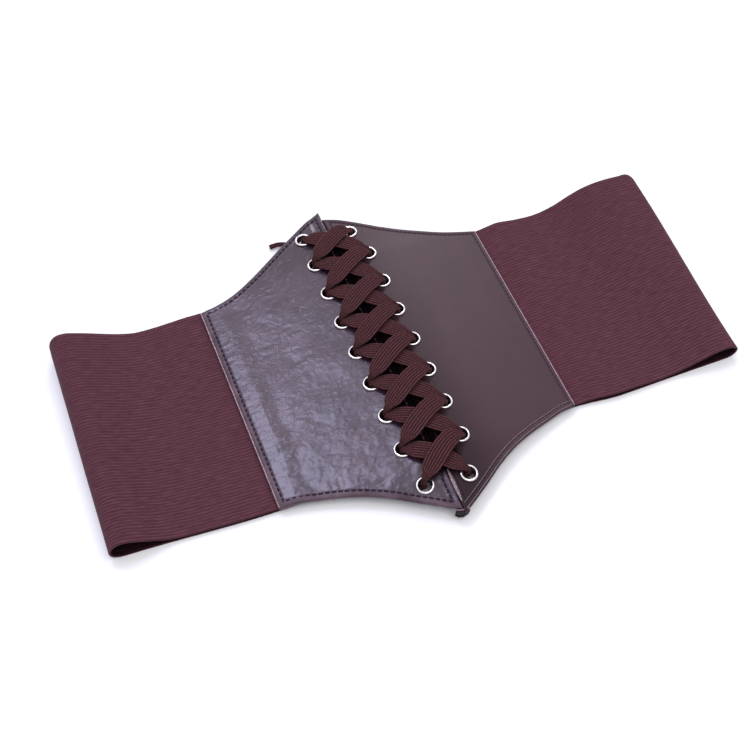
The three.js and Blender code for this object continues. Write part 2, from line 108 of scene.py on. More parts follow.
# %% [markdown]
# Cloth, leather and lace all become closed meshes of four-sided faces. The mesh maker takes
# corners in millimetres, and a pair of numbers for each corner that says where on the flat
# cloth it is. Those numbers become the UV map, which the weave follows round every fold. Some
# pieces show a second finish on a part of their faces.

# %% Make one piece of the belt
def make_piece(name, points, faces, finish, replaced=(), cloth_places=None):
    mesh = bpy.data.meshes.new(name)
    mesh.from_pydata(to_metres(points).tolist(), [], [list(face) for face in faces])
    mesh.materials.append(finish)
    mesh.shade_smooth()
    if cloth_places is not None:
        corners = np.zeros(len(mesh.loops), dtype=np.int32)
        mesh.loops.foreach_get("vertex_index", corners)
        layer = mesh.uv_layers.new(name="cloth")
        layer.data.foreach_set("uv", (np.asarray(cloth_places)[corners] * MM).ravel())
    piece = bpy.data.objects.new(name, mesh)
    bpy.context.collection.objects.link(piece)
    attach(piece, "root")
    if replaced:
        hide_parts(*replaced)
    return piece


def add_second_finish(piece, finish, chosen):
    piece.data.materials.append(finish)
    piece.data.polygons.foreach_set("material_index", np.asarray(chosen, dtype=np.int32))


def grid_faces(columns, rows):
    i, j = np.meshgrid(np.arange(columns), np.arange(rows), indexing="ij")
    a = (i * (rows + 1) + j).ravel()
    return np.stack([a, a + rows + 1, a + rows + 2, a + 1], axis=1)


print("faces in a grid of 2 by 3:", len(grid_faces(2, 3)))

# %% [markdown]
# A panel and an elastic are both sheets with a wall. The same faces are laid on the outer and
# the inner surface, and every edge that only one face uses, round the outline and round each
# hole, gets a wall between the two.

# %% Close a sheet into a solid
def closed_sheet(outer, inner, faces):
    count = len(outer)
    starts = faces.ravel()
    ends = np.roll(faces, -1, axis=1).ravel()
    keys = starts.astype(np.int64) * count + ends
    backward = ends.astype(np.int64) * count + starts
    rim = ~np.isin(keys, backward)
    a, b = starts[rim], ends[rim]
    walls = np.stack([b, a, a + count, b + count], axis=1)
    flipped = faces[:, ::-1] + count
    return np.concatenate([outer, inner]), np.concatenate([faces, flipped, walls])


closed_square = closed_sheet(np.ones((4, 3)), np.zeros((4, 3)), grid_faces(1, 1))
print("faces of one closed square:", len(closed_square[1]))

# %% [markdown]
# Lace, thread and piping are all one section drawn along a path, like dough through a die. The
# section is a ring of places across the path, and the path may make it wider or thicker.

# %% Sweep a section along a path
def sweep(path, across, section, widths, walls):
    path = np.asarray(path, dtype=float)
    along = np.gradient(path, axis=0)
    along /= np.linalg.norm(along, axis=1, keepdims=True)
    across = np.broadcast_to(np.asarray(across, dtype=float), path.shape).copy()
    across -= along * np.sum(across * along, axis=1, keepdims=True)
    across /= np.linalg.norm(across, axis=1, keepdims=True)
    away = np.cross(along, across)
    w = section[:, 0] * np.broadcast_to(widths, len(path))[:, None]
    t = section[:, 1] * np.broadcast_to(walls, len(path))[:, None]
    points = path[:, None] + across[:, None] * w[..., None] + away[:, None] * t[..., None]
    n = len(section)
    k = np.arange(n)
    ring = np.stack([k, (k + 1) % n, (k + 1) % n + n, k + n], axis=1)
    sides = ring[None] + (np.arange(len(path) - 1) * n)[:, None, None]
    last = (len(path) - 1) * n
    ends = [list(range(n))[::-1], [last + i for i in range(n)]]
    return points.reshape(-1, 3), sides.reshape(-1, 4).tolist() + ends


def round_section(sides):
    turn = 2 * math.pi * np.arange(sides) / sides
    return np.stack([np.cos(turn), np.sin(turn)], axis=1)


print("corners of a round section:", len(round_section(8)))

# %% [markdown]
# ## The camera
# The picture was taken from in front and well above, with a short telephoto lens, and the belt
# lies turned about 20 degrees to it. These values come from lining up the eyelets, the seams and
# the tips of the CAD model with the photograph.

# %% Set up the camera
PICTURE_WIDTH = 750
FOCAL_PIXELS = 1188.68
SENSOR_MM = 36.0
YAW, PITCH, ROLL = 0.36355, 0.95282, -0.00814
TARGET_MM = (-8.966, -4.759, 0.0)
DISTANCE_MM = 638.76

forward = Vector((
    math.sin(YAW) * math.cos(PITCH),
    math.cos(YAW) * math.cos(PITCH),
    -math.sin(PITCH),
))
level_right = Vector((math.cos(YAW), -math.sin(YAW), 0.0))
level_up = level_right.cross(forward)
right = math.cos(ROLL) * level_right + math.sin(ROLL) * level_up
up = -math.sin(ROLL) * level_right + math.cos(ROLL) * level_up
camera_data = bpy.data.cameras.new("photo_camera")
camera_data.sensor_width = SENSOR_MM
camera_data.lens = FOCAL_PIXELS / PICTURE_WIDTH * SENSOR_MM
camera_data.clip_start = 0.01
camera = bpy.data.objects.new("photo_camera", camera_data)
bpy.context.collection.objects.link(camera)
turn = Matrix((right, up, -forward)).transposed()
stand = Vector(to_metres([TARGET_MM])[0]) - forward * DISTANCE_MM * MM
camera.matrix_world = Matrix.Translation(stand) @ turn.to_4x4()
bpy.context.scene.camera = camera
print("lens (mm):", round(camera_data.lens, 2), "camera at (m):", [round(c, 3) for c in stand])

# %% [markdown]
# ## Finishes
# A node material is a small recipe. A few helpers keep the recipes short: one adds a node and
# sets its numbers, one joins an output to an input, and the others add what many recipes need,
# such as a patchy noise, a scale of tones or a bump.

# %% Helpers for node materials
def add_node(tree, kind, settings=None, **inputs):
    node = tree.nodes.new(kind)
    for name, value in (settings or {}).items():
        setattr(node, name, value)
    for name, value in inputs.items():
        key = int(name[1:]) if name[0] == "i" and name[1:].isdigit() else name.replace("_", " ")
        node.inputs[key].default_value = value
    return node


def join(tree, source, output, target, socket):
    tree.links.new(source.outputs[output], target.inputs[socket])


COARSE_BUMP = 0.0003
FINE_BUMP = 0.0001


def new_finish(name, roughness, **sockets):
    material = bpy.data.materials.new(name)
    material.use_nodes = True
    tree = material.node_tree
    shader = tree.nodes["Principled BSDF"]
    shader.inputs["Roughness"].default_value = roughness
    for socket, value in sockets.items():
        shader.inputs[socket.replace("_", " ")].default_value = value
    return material, tree, shader


def add_ramp(tree, source, output, stops):
    ramp = tree.nodes.new("ShaderNodeValToRGB")
    while len(ramp.color_ramp.elements) < len(stops):
        ramp.color_ramp.elements.new(0.5)
    for element, (place, colour) in zip(ramp.color_ramp.elements, stops):
        element.position = place
        element.color = (*colour, 1.0)
    join(tree, source, output, ramp, "Fac")
    return ramp


def add_noise(tree, place, output, settings=None, **inputs):
    node = add_node(tree, "ShaderNodeTexNoise", settings, **inputs)
    join(tree, place, output, node, "Vector")
    return node


def add_bump(tree, source, output, strength, distance):
    bump = add_node(tree, "ShaderNodeBump", Strength=strength, Distance=distance)
    join(tree, source, output, bump, "Height")
    return bump


print("bumps are this deep (mm):", COARSE_BUMP / MM, FINE_BUMP / MM)

# %% [markdown]
# The panels are faux leather: cloth under a thin glossy plastic skin. The lace's shade is painted
# into the skin: dark between the two rows of eyelets, and a little darker on both sides. Small node
# groups work out how much painted shade each spot gets, from its distance to the centre line.

# %% Painted shade of the lace on the leather
LACED_HALF_WIDTH = 6.5
LACED_HALF_HEIGHT = 80.0
LACED_MIDDLE = CENTRE[1] + 3.0
SHADE_FADE = 6.0
LACE_SHADE_REACH = 42.0


def reckon(tree, operation, *sources, **inputs):
    node = add_node(tree, "ShaderNodeMath", {"operation": operation}, **inputs)
    for slot, (source, output) in enumerate(sources):
        join(tree, source, output, node, slot)
    return node


def faded(tree, far, start, end, near_value, far_value):
    share = add_node(
        tree, "ShaderNodeMapRange", {"interpolation_type": "SMOOTHSTEP"},
        From_Min=start * MM, From_Max=end * MM, To_Min=near_value, To_Max=far_value,
    )
    join(tree, far, "Value", share, "Value")
    return share


def distance_from(tree, parts, axis, middle):
    off = reckon(tree, "SUBTRACT", (parts, axis), i1=middle * MM)
    return reckon(tree, "ABSOLUTE", (off, "Value"))


def between_rows(tree, parts):
    shares = []
    for axis, middle, half in (
        ("X", CENTRE[0], LACED_HALF_WIDTH),
        ("Y", LACED_MIDDLE, LACED_HALF_HEIGHT),
    ):
        far = distance_from(tree, parts, axis, middle)
        shares.append((faded(tree, far, half, half + SHADE_FADE, 0.0, 1.0), "Result"))
    return reckon(tree, "MAXIMUM", *shares)


def beside_lace(tree, parts, upper, lower):
    far = distance_from(tree, parts, "X", CENTRE[0])
    near = faded(tree, far, LACED_HALF_WIDTH, LACE_SHADE_REACH, 1.0, 0.0)
    depth = add_node(
        tree, "ShaderNodeMapRange", From_Min=(LACED_MIDDLE - LACED_HALF_HEIGHT) * MM,
        From_Max=(LACED_MIDDLE + LACED_HALF_HEIGHT) * MM, To_Min=lower, To_Max=upper,
    )
    join(tree, parts, "Y", depth, "Value")
    shade = reckon(tree, "MULTIPLY", (near, "Result"), (depth, "Result"))
    lit = add_node(tree, "ShaderNodeMath", {"operation": "SUBTRACT"}, i0=1.0)
    join(tree, shade, "Value", lit, 1)
    return lit


print("the lace shades the leather as far as (mm):", LACE_SHADE_REACH)

# %% [markdown]
# The skin shows a fine grain, and where the sheet has been bent it crackles into creases. Two
# bumps give that, one small and even, one larger and patchy. Where shade is painted in, the gloss
# is turned down too. The left panel is far more crinkled than the right one, and its margin past
# the stitches is painted paler as sheen, so the same recipe is used with other depths and tones.
# Sockets 6 and 7 of a colour mix are its two colours, and its output 2 is the mixed one.

# %% Crinkled faux leather
SHADED_SKIN = (0.004, 0.002, 0.003, 1.0)


def faux_leather(
    name, dark, light, roughness, crease_depth, grain_depth, coat, gloss=0.5, shades=(0.2, 0.12)
):
    material, tree, shader = new_finish(name, roughness, Coat_Roughness=0.2)
    place = add_node(tree, "ShaderNodeTexCoord")
    parts = add_node(tree, "ShaderNodeSeparateXYZ")
    join(tree, place, "Object", parts, "Vector")
    patches = add_noise(tree, place, "Object", Scale=60.0, Detail=5.0, Roughness=0.6)
    tone = add_ramp(tree, patches, "Fac", [(0.35, dark), (0.68, light)])
    # Painted shade: between the eyelet rows and beside the lace the colour is darkened towards
    # SHADED_SKIN, and the gloss is turned down with it.
    lit_share = reckon(
        tree, "MULTIPLY",
        (between_rows(tree, parts), "Value"), (beside_lace(tree, parts, *shades), "Value"),
    )
    painted_shade_mix = add_node(tree, "ShaderNodeMix", {"data_type": "RGBA"}, i6=SHADED_SKIN)
    join(tree, lit_share, "Value", painted_shade_mix, 0)
    join(tree, tone, "Color", painted_shade_mix, 7)
    join(tree, painted_shade_mix, 2, shader, "Base Color")
    for socket, full in (("Specular IOR Level", gloss), ("Coat Weight", coat)):
        kept = reckon(tree, "MULTIPLY", (lit_share, "Value"), i1=full)
        join(tree, kept, "Value", shader, socket)
    creases = add_noise(
        tree, place, "Object", {"noise_type": "RIDGED_MULTIFRACTAL"},
        Scale=270.0, Detail=5.0, Roughness=0.6, Distortion=0.6,
    )
    grain = add_node(tree, "ShaderNodeTexVoronoi", {"feature": "SMOOTH_F1"}, Scale=1300.0)
    join(tree, place, "Object", grain, "Vector")
    fold_bump = add_bump(tree, creases, "Fac", crease_depth, COARSE_BUMP)
    grain_bump = add_bump(tree, grain, "Distance", grain_depth, FINE_BUMP)
    join(tree, fold_bump, "Normal", grain_bump, "Normal")
    join(tree, grain_bump, "Normal", shader, "Normal")
    return material


left_leather = faux_leather(
    "crinkled_plum_leather", dark=(0.03, 0.013, 0.028), light=(0.052, 0.026, 0.047),
    roughness=0.3, crease_depth=1.0, grain_depth=0.25, coat=0.42,
)
# Painted sheen: the left panel's margin past its stitches is painted paler, as the sheen it
# catches.
left_margin_sheen = faux_leather(
    "margin_leather_painted_sheen", dark=(0.042, 0.02, 0.032), light=(0.14, 0.09, 0.12),
    roughness=0.4, crease_depth=0.3, grain_depth=0.25, coat=0.0, gloss=0.3,
)
right_leather = faux_leather(
    "smooth_plum_leather", dark=(0.043, 0.018, 0.026), light=(0.05, 0.021, 0.031),
    roughness=0.4, crease_depth=0.08, grain_depth=0.25, coat=0.0, gloss=0.3, shades=(0.2, 0.5),
)
closure_finish = faux_leather(
    "closure_leather", dark=(0.02, 0.013, 0.018), light=(0.04, 0.026, 0.034),
    roughness=0.5, crease_depth=0.1, grain_depth=0.3, coat=0.1,
)
print("finishes so far:", len(bpy.data.materials))

# %% [markdown]
# The elastic is woven with rubber cords across the belt's height, so its face is all narrow ribs
# that run along the belt. The ribs themselves are modelled; the finish adds the threads that
# cross them and darkens the valleys, measured on the cloth's own UV map. The inside of the loops
# gets hardly any light between its two layers, so it has a darker copy of the recipe.

# %% Ribbed elastic
RIB_PITCH = 1.8
RIB_SHADE = -0.1
INSIDE_LIGHT = 0.22


def rib_crests(tree, pitch):
    cloth = add_node(tree, "ShaderNodeUVMap", {"uv_map": "cloth"})
    parts = add_node(tree, "ShaderNodeSeparateXYZ")
    join(tree, cloth, "UV", parts, "Vector")
    ribs = reckon(tree, "MULTIPLY", (parts, "Y"), i1=2 * math.pi / (pitch * MM))
    return cloth, reckon(tree, "COSINE", (ribs, "Value"))


def shade_ribs(tree, crest, threads, depth):
    blend = add_node(tree, "ShaderNodeMath", {"operation": "MULTIPLY_ADD"}, i1=depth)
    join(tree, crest, "Value", blend, 0)
    join(tree, threads, "Fac", blend, 2)
    return blend


def ribbed_elastic(name, light=1.0):
    material, tree, shader = new_finish(
        name, 0.9, Sheen_Weight=0.06 * light, Sheen_Roughness=0.5, Specular_IOR_Level=0.1 * light
    )
    shader.inputs["Sheen Tint"].default_value = (0.9, 0.7, 0.78, 1.0)
    cloth, crest = rib_crests(tree, RIB_PITCH)
    stretch = add_node(tree, "ShaderNodeMapping", Scale=(140.0, 1300.0, 1.0))
    join(tree, cloth, "UV", stretch, "Vector")
    streaks = add_noise(tree, stretch, "Vector", Scale=1.0, Detail=4.0, Roughness=0.75)
    blend = shade_ribs(tree, crest, streaks, RIB_SHADE)
    tones = {0.3: (0.052, 0.017, 0.024), 0.5: (0.078, 0.027, 0.038), 0.72: (0.12, 0.047, 0.062)}
    stops = [(at, tuple(light * c for c in tones[at])) for at in tones]
    tone = add_ramp(tree, blend, "Value", stops)
    join(tree, tone, "Color", shader, "Base Color")
    join(tree, add_bump(tree, streaks, "Fac", 0.7, COARSE_BUMP), "Normal", shader, "Normal")
    return material


elastic_finish = ribbed_elastic("wine_elastic")
shaded_elastic = ribbed_elastic("wine_elastic_painted_shade", INSIDE_LIGHT)
print("ribs on the elastic are", RIB_PITCH, "mm apart")

# %% [markdown]
# The lace is a flat braid of soft yarn with lengthwise ribs. Its finish adds the slanting yarns
# of the braid as a fine bump and a reddish sheen, as the yarn is slightly fuzzy.

# %% Braided lace
LACE_WIDTH = 10.4
LACE_RIBS = 7
# Painted shade: the grooves between the lace's ribs are coloured darker.
LACE_RIB_SHADE = 0.22
YARN_SLANT = 0.6


def braided_lace():
    material, tree, shader = new_finish(
        "brown_lace", 0.85, Sheen_Weight=0.12, Sheen_Roughness=0.4, Specular_IOR_Level=0.15
    )
    shader.inputs["Sheen Tint"].default_value = (0.85, 0.45, 0.45, 1.0)
    cloth, crest = rib_crests(tree, LACE_WIDTH / LACE_RIBS)
    slant = add_node(
        tree, "ShaderNodeMapping", Scale=(1500.0, 1100.0, 1.0), Rotation=(0, 0, YARN_SLANT)
    )
    join(tree, cloth, "UV", slant, "Vector")
    yarns = add_noise(tree, slant, "Vector", Scale=1.0, Detail=2.0, Roughness=0.6)
    blend = shade_ribs(tree, crest, yarns, LACE_RIB_SHADE)
    tone = add_ramp(tree, blend, "Value", [
        (0.34, (0.018, 0.005, 0.006)),
        (0.52, (0.041, 0.012, 0.0145)),
        (0.75, (0.098, 0.034, 0.038)),
    ])
    join(tree, tone, "Color", shader, "Base Color")
    join(tree, add_bump(tree, yarns, "Fac", 0.8, COARSE_BUMP), "Normal", shader, "Normal")
    return material


lace_finish = braided_lace()
print("ribs on each face of the lace:", LACE_RIBS)

# %% [markdown]
# Seven plainer finishes complete the set: bright nickel for the eyelets and a near-black one for
# their bores, painted shade, dark and pale sewing thread, the pale cut edge of the faux leather,
# where its backing cloth shows, a pale one for a sliver of backing and for painted highlights,
# and a near-black one for the painted shade of the fold at the lower tip.

# %% Nickel, thread and edges
def with_specks(name, dark, light, roughness, scale, **sockets):
    material, tree, shader = new_finish(name, roughness, **sockets)
    place = add_node(tree, "ShaderNodeTexCoord")
    specks = add_noise(tree, place, "Object", Scale=scale, Detail=3.0)
    tone = add_ramp(tree, specks, "Fac", [(0.35, dark), (0.65, light)])
    join(tree, tone, "Color", shader, "Base Color")
    join(tree, add_bump(tree, specks, "Fac", 0.15, FINE_BUMP), "Normal", shader, "Normal")
    return material


METAL_SPECKS, EDGE_SPECKS, THREAD_SPECKS, FOLD_SPECKS = 500.0, 900.0, 2500.0, 400.0
nickel = with_specks(
    "eyelet_nickel", dark=(0.7, 0.66, 0.66), light=(0.95, 0.91, 0.91),
    roughness=0.22, scale=METAL_SPECKS, Metallic=1.0,
)
# Painted shade: the bores are near-black, as the shade inside the holes.
shaded_bore = with_specks(
    "eyelet_bore_painted_shade", dark=(0.008, 0.006, 0.006), light=(0.03, 0.024, 0.025),
    roughness=0.6, scale=METAL_SPECKS,
)
dark_thread = with_specks(
    "dark_thread", dark=(0.016, 0.007, 0.018), light=(0.042, 0.02, 0.04),
    roughness=0.8, scale=THREAD_SPECKS, Specular_IOR_Level=0.2,
)
pale_thread = with_specks(
    "pale_thread", dark=(0.3, 0.28, 0.3), light=(0.5, 0.48, 0.5),
    roughness=0.8, scale=THREAD_SPECKS,
)
cut_edge = with_specks(
    "pale_cut_edge", dark=(0.2, 0.13, 0.16), light=(0.42, 0.31, 0.35),
    roughness=0.7, scale=EDGE_SPECKS,
)
# This pale finish paints the highlights along the right hem and inner edge, and the backing at the
# folded corner.
pale_backing_and_painted_highlight = with_specks(
    "pale_backing_and_painted_highlight", dark=(0.14, 0.095, 0.115), light=(0.27, 0.2, 0.23),
    roughness=0.5, scale=EDGE_SPECKS,
)
# Painted shade: the fold's leather is near-black, as the shade in the fold.
shaded_fold_leather = with_specks(
    "folded_leather_painted_shade", dark=(0.006, 0.003, 0.004), light=(0.022, 0.012, 0.016),
    roughness=0.8, scale=FOLD_SPECKS,
)
print("finishes:", len(bpy.data.materials))

# %% [markdown]
# ## The front panels
# Each panel is one piece of faux leather with turned edges, cut as a peak above and below at the
# centre and straight where the elastic is sewn on. Four short tables give its outline as the CAD
# model has it. The lacing pushes the middle up, so the panels lean like a low roof whose tips
# hang a little. The sewn seams have slid a little inwards, and the right panel's lower hem rides
# up, so one helper moves a finished place from where the pattern has it to where it lies.

# %% Outline and height of the panels
PANEL_WIDTH = 82.0
PANEL_WALL = 2.2
PANEL_PARTING = 0.24
HALF_SIDE = 66.5
SIDE_RISE = 37.5
LEFT_LIFT = 2.4
SEAM_UNDER = 3.4
RIDGE_RISE = 6.4
TIP_DROOP = 2.6
EDGE_ACROSS = (0.0, 0.1, 0.22, 0.35, 0.48, 0.62, 0.76, 0.88, 1.0)
LEFT_TOP = (1.1, 1.02, 0.87, 0.69, 0.49, 0.28, 0.11, 0.02, 0.0)
RIGHT_TOP = (1.0, 0.93, 0.78, 0.59, 0.42, 0.27, 0.14, 0.06, 0.0)
BOTTOM = (0.99, 0.85, 0.68, 0.49, 0.33, 0.2, 0.1, 0.03, 0.0)
# How far each seam has slid, left and right: evenly, and with a slant from hem to hem.
SEAM_SLIDE = ((2.3, 0.8), (1.5, -0.5))
# Each rise of the lower hem: its height, where it starts across the panel, and how long it is.
HEM_RISES = ((1.3, 0.0, 0.5), (0.9, 0.75, 0.25))


def panel_under(x, y):
    inward = 1 - np.abs(x) / PANEL_WIDTH
    past = (np.abs(y) - HALF_SIDE) / SIDE_RISE
    return SEAM_UNDER + RIDGE_RISE * inward - TIP_DROOP * smooth(past)


def drift(x, y):
    share = np.clip(np.abs(x) / PANEL_WIDTH, 0, 1)
    even, slanted = (np.where(x < 0, left, right) for left, right in zip(*SEAM_SLIDE))
    rise = sum(height * smooth((share - start) / run) for height, start, run in HEM_RISES)
    rise = rise * smooth(-y / HALF_SIDE) * (x > 0)
    return x - share**2 * (even + slanted * y / HALF_SIDE), y + rise


def panel_reach(side, across):
    lift = (LEFT_LIFT if side < 0 else 0.0) * (1 - across)
    top = LEFT_TOP if side < 0 else RIGHT_TOP
    high = HALF_SIDE + SIDE_RISE * curve_through(EDGE_ACROSS, top, across)
    low = -HALF_SIDE - SIDE_RISE * curve_through(EDGE_ACROSS, BOTTOM, across)
    return low + lift, high + lift


def edge_slant(line, along):
    return np.cos(np.arctan(np.gradient(line, along)))


tips = panel_reach(-1, np.array([0.0]))
print("left panel, tip to tip (mm):", [round(float(tip[0]), 1) for tip in tips])

# %% [markdown]
# The eyelets sit in two rows of nine, and stand square to the leather. The lace pulls the end
# ones of each row towards the middle.

# %% Places of the eyelets
EYELET_PAIRS = 9
EYELET_INSET = 15.3
EYELET_PITCH = 21.8
ROW_LIFT = 3.0
END_PULL = {(-1, 8): (2.8, -1.0), (1, 0): (4.2, -2.0), (1, 8): (5.2, 0.0)}


def eyelet_place(side, pair):
    inward, upward = END_PULL.get((side, pair), (0.0, 0.0))
    x = side * (EYELET_INSET - inward)
    lift = LEFT_LIFT if side < 0 else 0.0
    y = ROW_LIFT + lift + (EYELET_PAIRS // 2 - pair) * EYELET_PITCH + upward
    return np.array([x, y, float(panel_under(x, y))])


def panel_up(place):
    x, y = place[:2]
    slope_x = (panel_under(x + 1, y) - panel_under(x - 1, y)) / 2
    slope_y = (panel_under(x, y + 1) - panel_under(x, y - 1)) / 2
    square = np.array([-slope_x, -slope_y, 1.0])
    return square / np.linalg.norm(square)


low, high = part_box("eyelet_left_5")
drawn = to_metres([eyelet_place(-1, 4)])[0]
print("eyelet 5 is off its CAD box by (mm):", round(abs((low[0] + high[0]) / 2 - drawn[0]) / MM, 2))

# %% [markdown]
# The leather's relief is what makes it read as leather. Real creases never repeat, so it is made
# with noise: a smooth field of hills and dips that is the same on each run. Drawn out in one
# direction it gives puckers, and where it crosses zero it gives sharp creases.

# %% Rounded edges, waves and creases
EDGE_ROUND = 1.0
# Patchy waves: a stretch under 1 draws them out in that direction.
FRACTAL_FALL, FRACTAL_STEP = 0.8, 2.1
WAVES = {
    "seam": {"height": 0.07, "stretch": (0.3, 1.0), "length": 3.0, "seed": 7.3, "octaves": 2},
    "hem": {"height": 0.1, "stretch": (1.0, 0.35), "length": 2.6, "seed": 3.1, "octaves": 2},
    "slack": {"height": 0.3, "stretch": (1.0, 1.0), "length": 30.0, "seed": 5.7, "octaves": 2},
    "crinkle": {"height": 0.075, "stretch": (0.6, 1.0), "length": 4.5, "seed": 2.2, "octaves": 4},
}
CREASE_DEPTH, CREASE_LENGTH, CREASE_SEED, CREASE_STRETCH = 0.06, 8.0, 9.4, 0.5
CREASE_SHARPNESS = 6


def nearest_of(edges):
    return np.minimum.reduce(list(edges.values()))


def edge_tuck(nearest):
    inside = EDGE_ROUND - np.clip(nearest, 0, EDGE_ROUND)
    return EDGE_ROUND - np.sqrt(EDGE_ROUND**2 - inside**2)


def bell(distance, width):
    return np.exp(-((distance / width) ** 2))


def seeded_noise(x, y, length, seed, octaves):
    values = [
        noise.fractal(Vector((a / length, b / length, seed)), FRACTAL_FALL, FRACTAL_STEP, octaves)
        for a, b in zip(x.ravel(), y.ravel())
    ]
    return np.array(values).reshape(x.shape)


def crease_noise(x, y, length, seed):
    values = [
        1 - abs(noise.noise(Vector((a / length, b / length, seed)))) * 2
        for a, b in zip(x.ravel(), y.ravel())
    ]
    return np.array(values).reshape(x.shape) ** CREASE_SHARPNESS


def waves(name, side, x, y):
    kind = WAVES[name]
    wide, tall = kind["stretch"]
    field = seeded_noise(x * wide, y * tall, kind["length"], kind["seed"] * side, kind["octaves"])
    return kind["height"] * field


print("kinds of waves in the leather:", len(WAVES))

# %% [markdown]
# The relief is built from the distance to the nearest edge: the edge is rounded over, the row of
# stitches pulls a channel into it, and small puckers run from that channel into the panel. Away
# from the edges there are only the creases that a folded sheet keeps. Where a panel lies over
# the elastic it stands a little higher, and past the lacing a groove runs along its inner edge.
# All of it stays within about a millimetre.

# %% Relief of the leather
STITCH_INSETS = {
    -1: {"centre": 3.2, "seam": 3.0, "top": 3.0, "bottom": 3.1},
    1: {"centre": 3.2, "seam": 2.2, "top": 2.6, "bottom": 2.8},
}
MARGIN_FALL = {
    -1: {"centre": -0.4, "seam": 0.4, "top": 0.4, "bottom": 0.2},
    1: {"centre": 0.1, "seam": 0.15, "top": -0.1, "bottom": 0.15},
}
CRINKLED = {-1: 1.0, 1: 0.1}
SEAM_LAP = 10.0
# The channel of the stitches, and the raised band where the panel lies over the elastic.
CHANNEL_DEPTH, CHANNEL_WIDTH = 0.25, 0.45
PUFF_RISE, PUFF_RUN = 0.1, 1.2
LAP_RISE, LAP_FALL = 0.35, 9.0
LAP_WANDER, LAP_WANDER_LENGTH, LAP_SEED, LAP_OCTAVES = 2.5, 14.0, 4.4, 3
# The groove along the inner edge, deeper below the lacing than above it.
GROOVE_DEPTH_LOW, GROOVE_DEPTH_HIGH = 0.8, 0.25
GROOVE_INSET, GROOVE_WIDTH = 5.2, 1.7
# Where the puckers are strongest, and how far they reach.
SEAM_PUCKER_INSET, SEAM_PUCKER_WIDTH = 2.0, 5.0
HEM_PUCKER_INSET, HEM_PUCKER_WIDTH = 5.5, 3.5
# Crinkles and creases slant across the panel, and are calmer by the stitches and the seam.
CRINKLE_SLANT = (0.87, 0.5)
LOWER_CRINKLES = 0.7
CALM_RUN, CALM_LAP = 2.0, 0.25


def seam_band(x, y, seam, inset):
    puffed = PUFF_RISE * smooth((seam - inset) / PUFF_RUN)
    lapped = puffed + LAP_RISE * np.clip(seam / SEAM_LAP, 0, 1)
    wander = LAP_WANDER * seeded_noise(0 * x, y, LAP_WANDER_LENGTH, LAP_SEED, LAP_OCTAVES)
    lap_end = SEAM_LAP + wander
    return lapped * (1 - smooth((seam - lap_end) / LAP_FALL))


def inner_groove(y, centre):
    past_lacing = smooth((np.abs(y) - LACED_HALF_HEIGHT) / SHADE_FADE)
    depth = np.where(y < 0, GROOVE_DEPTH_LOW, GROOVE_DEPTH_HIGH)
    return depth * past_lacing * bell(centre - GROOVE_INSET, GROOVE_WIDTH)


def leather_relief(side, x, y, edges):
    insets = STITCH_INSETS[side]
    to_stitch = np.minimum.reduce([edges[name] - insets[name] for name in edges])
    channel = CHANNEL_DEPTH * bell(to_stitch, CHANNEL_WIDTH)
    margin = np.zeros_like(x)
    for name, fall in MARGIN_FALL[side].items():
        margin += fall * np.clip(1 - edges[name] / insets[name], 0, 1)
    seam, hem = edges["seam"], np.minimum(edges["top"], edges["bottom"])
    at_seam = bell(seam - insets["seam"] - SEAM_PUCKER_INSET, SEAM_PUCKER_WIDTH)
    seam_puckers = waves("seam", side, x, y) * at_seam
    hem_puckers = waves("hem", side, x, y) * bell(hem - HEM_PUCKER_INSET, HEM_PUCKER_WIDTH)
    slack = waves("slack", side, x, y)
    ahead, aside = CRINKLE_SLANT
    tilted_x, tilted_y = x * ahead + y * aside, y * ahead - x * aside
    crinkles = waves("crinkle", side, tilted_x, tilted_y)
    crinkles *= 1 + LOWER_CRINKLES * smooth(-y / HALF_SIDE)
    creases = CREASE_DEPTH * crease_noise(
        tilted_x * CREASE_STRETCH, tilted_y, CREASE_LENGTH, CREASE_SEED * side
    )
    inside = smooth(to_stitch / CALM_RUN) * np.where(seam < SEAM_LAP, CALM_LAP, 1.0)
    soft = seam_puckers + hem_puckers + (slack + crinkles - creases) * inside
    soft += seam_band(x, y, seam, insets["seam"])
    soft -= inner_groove(y, edges["centre"])
    return soft * CRINKLED[side] - channel - margin - edge_tuck(nearest_of(edges))


print("stitches are inside the edges by (mm):", STITCH_INSETS[-1])

# %% [markdown]
# The grid for a panel is close at its edges, where it has to turn over, and even in its middle.
# Where an eyelet goes through, the faces are left out and the rim of the gap is drawn into a
# circle, which the eyelet's flange then covers. A corner inside the sheet is used by four faces,
# so one that fewer faces use is on a rim.

# %% Grid and holes of a panel
EDGE_STEPS = (0.0, 0.1, 0.3, 0.6, 1.0, 1.5, 2.0, 2.5, 3.0, 3.5, 4.0, 4.5, 5.2, 6.0)
MIDDLE_STEP = 0.75
HOLE_RADIUS = 3.9
RIM_REACH = 1.2
FACES_ROUND_A_CORNER = 4


def spaced(length):
    ends = np.array(EDGE_STEPS)
    middle = np.arange(1, int((length - 2 * ends[-1]) / MIDDLE_STEP))
    inner = ends[-1] + middle / (middle[-1] + 1) * (length - 2 * ends[-1])
    return np.concatenate([ends, inner, length - ends[::-1]])


def panel_rows(low, high):
    ends = np.array(EDGE_STEPS)
    fixed = len(ends)
    heights = high - low
    tallest = float(heights.max())
    shares = (spaced(tallest) - ends[-1]) / (tallest - 2 * ends[-1])
    rows = low[:, None] + ends[-1] + shares[None, :] * (heights[:, None] - 2 * ends[-1])
    rows[:, :fixed] = low[:, None] + ends
    rows[:, -fixed:] = high[:, None] - ends[::-1]
    return rows


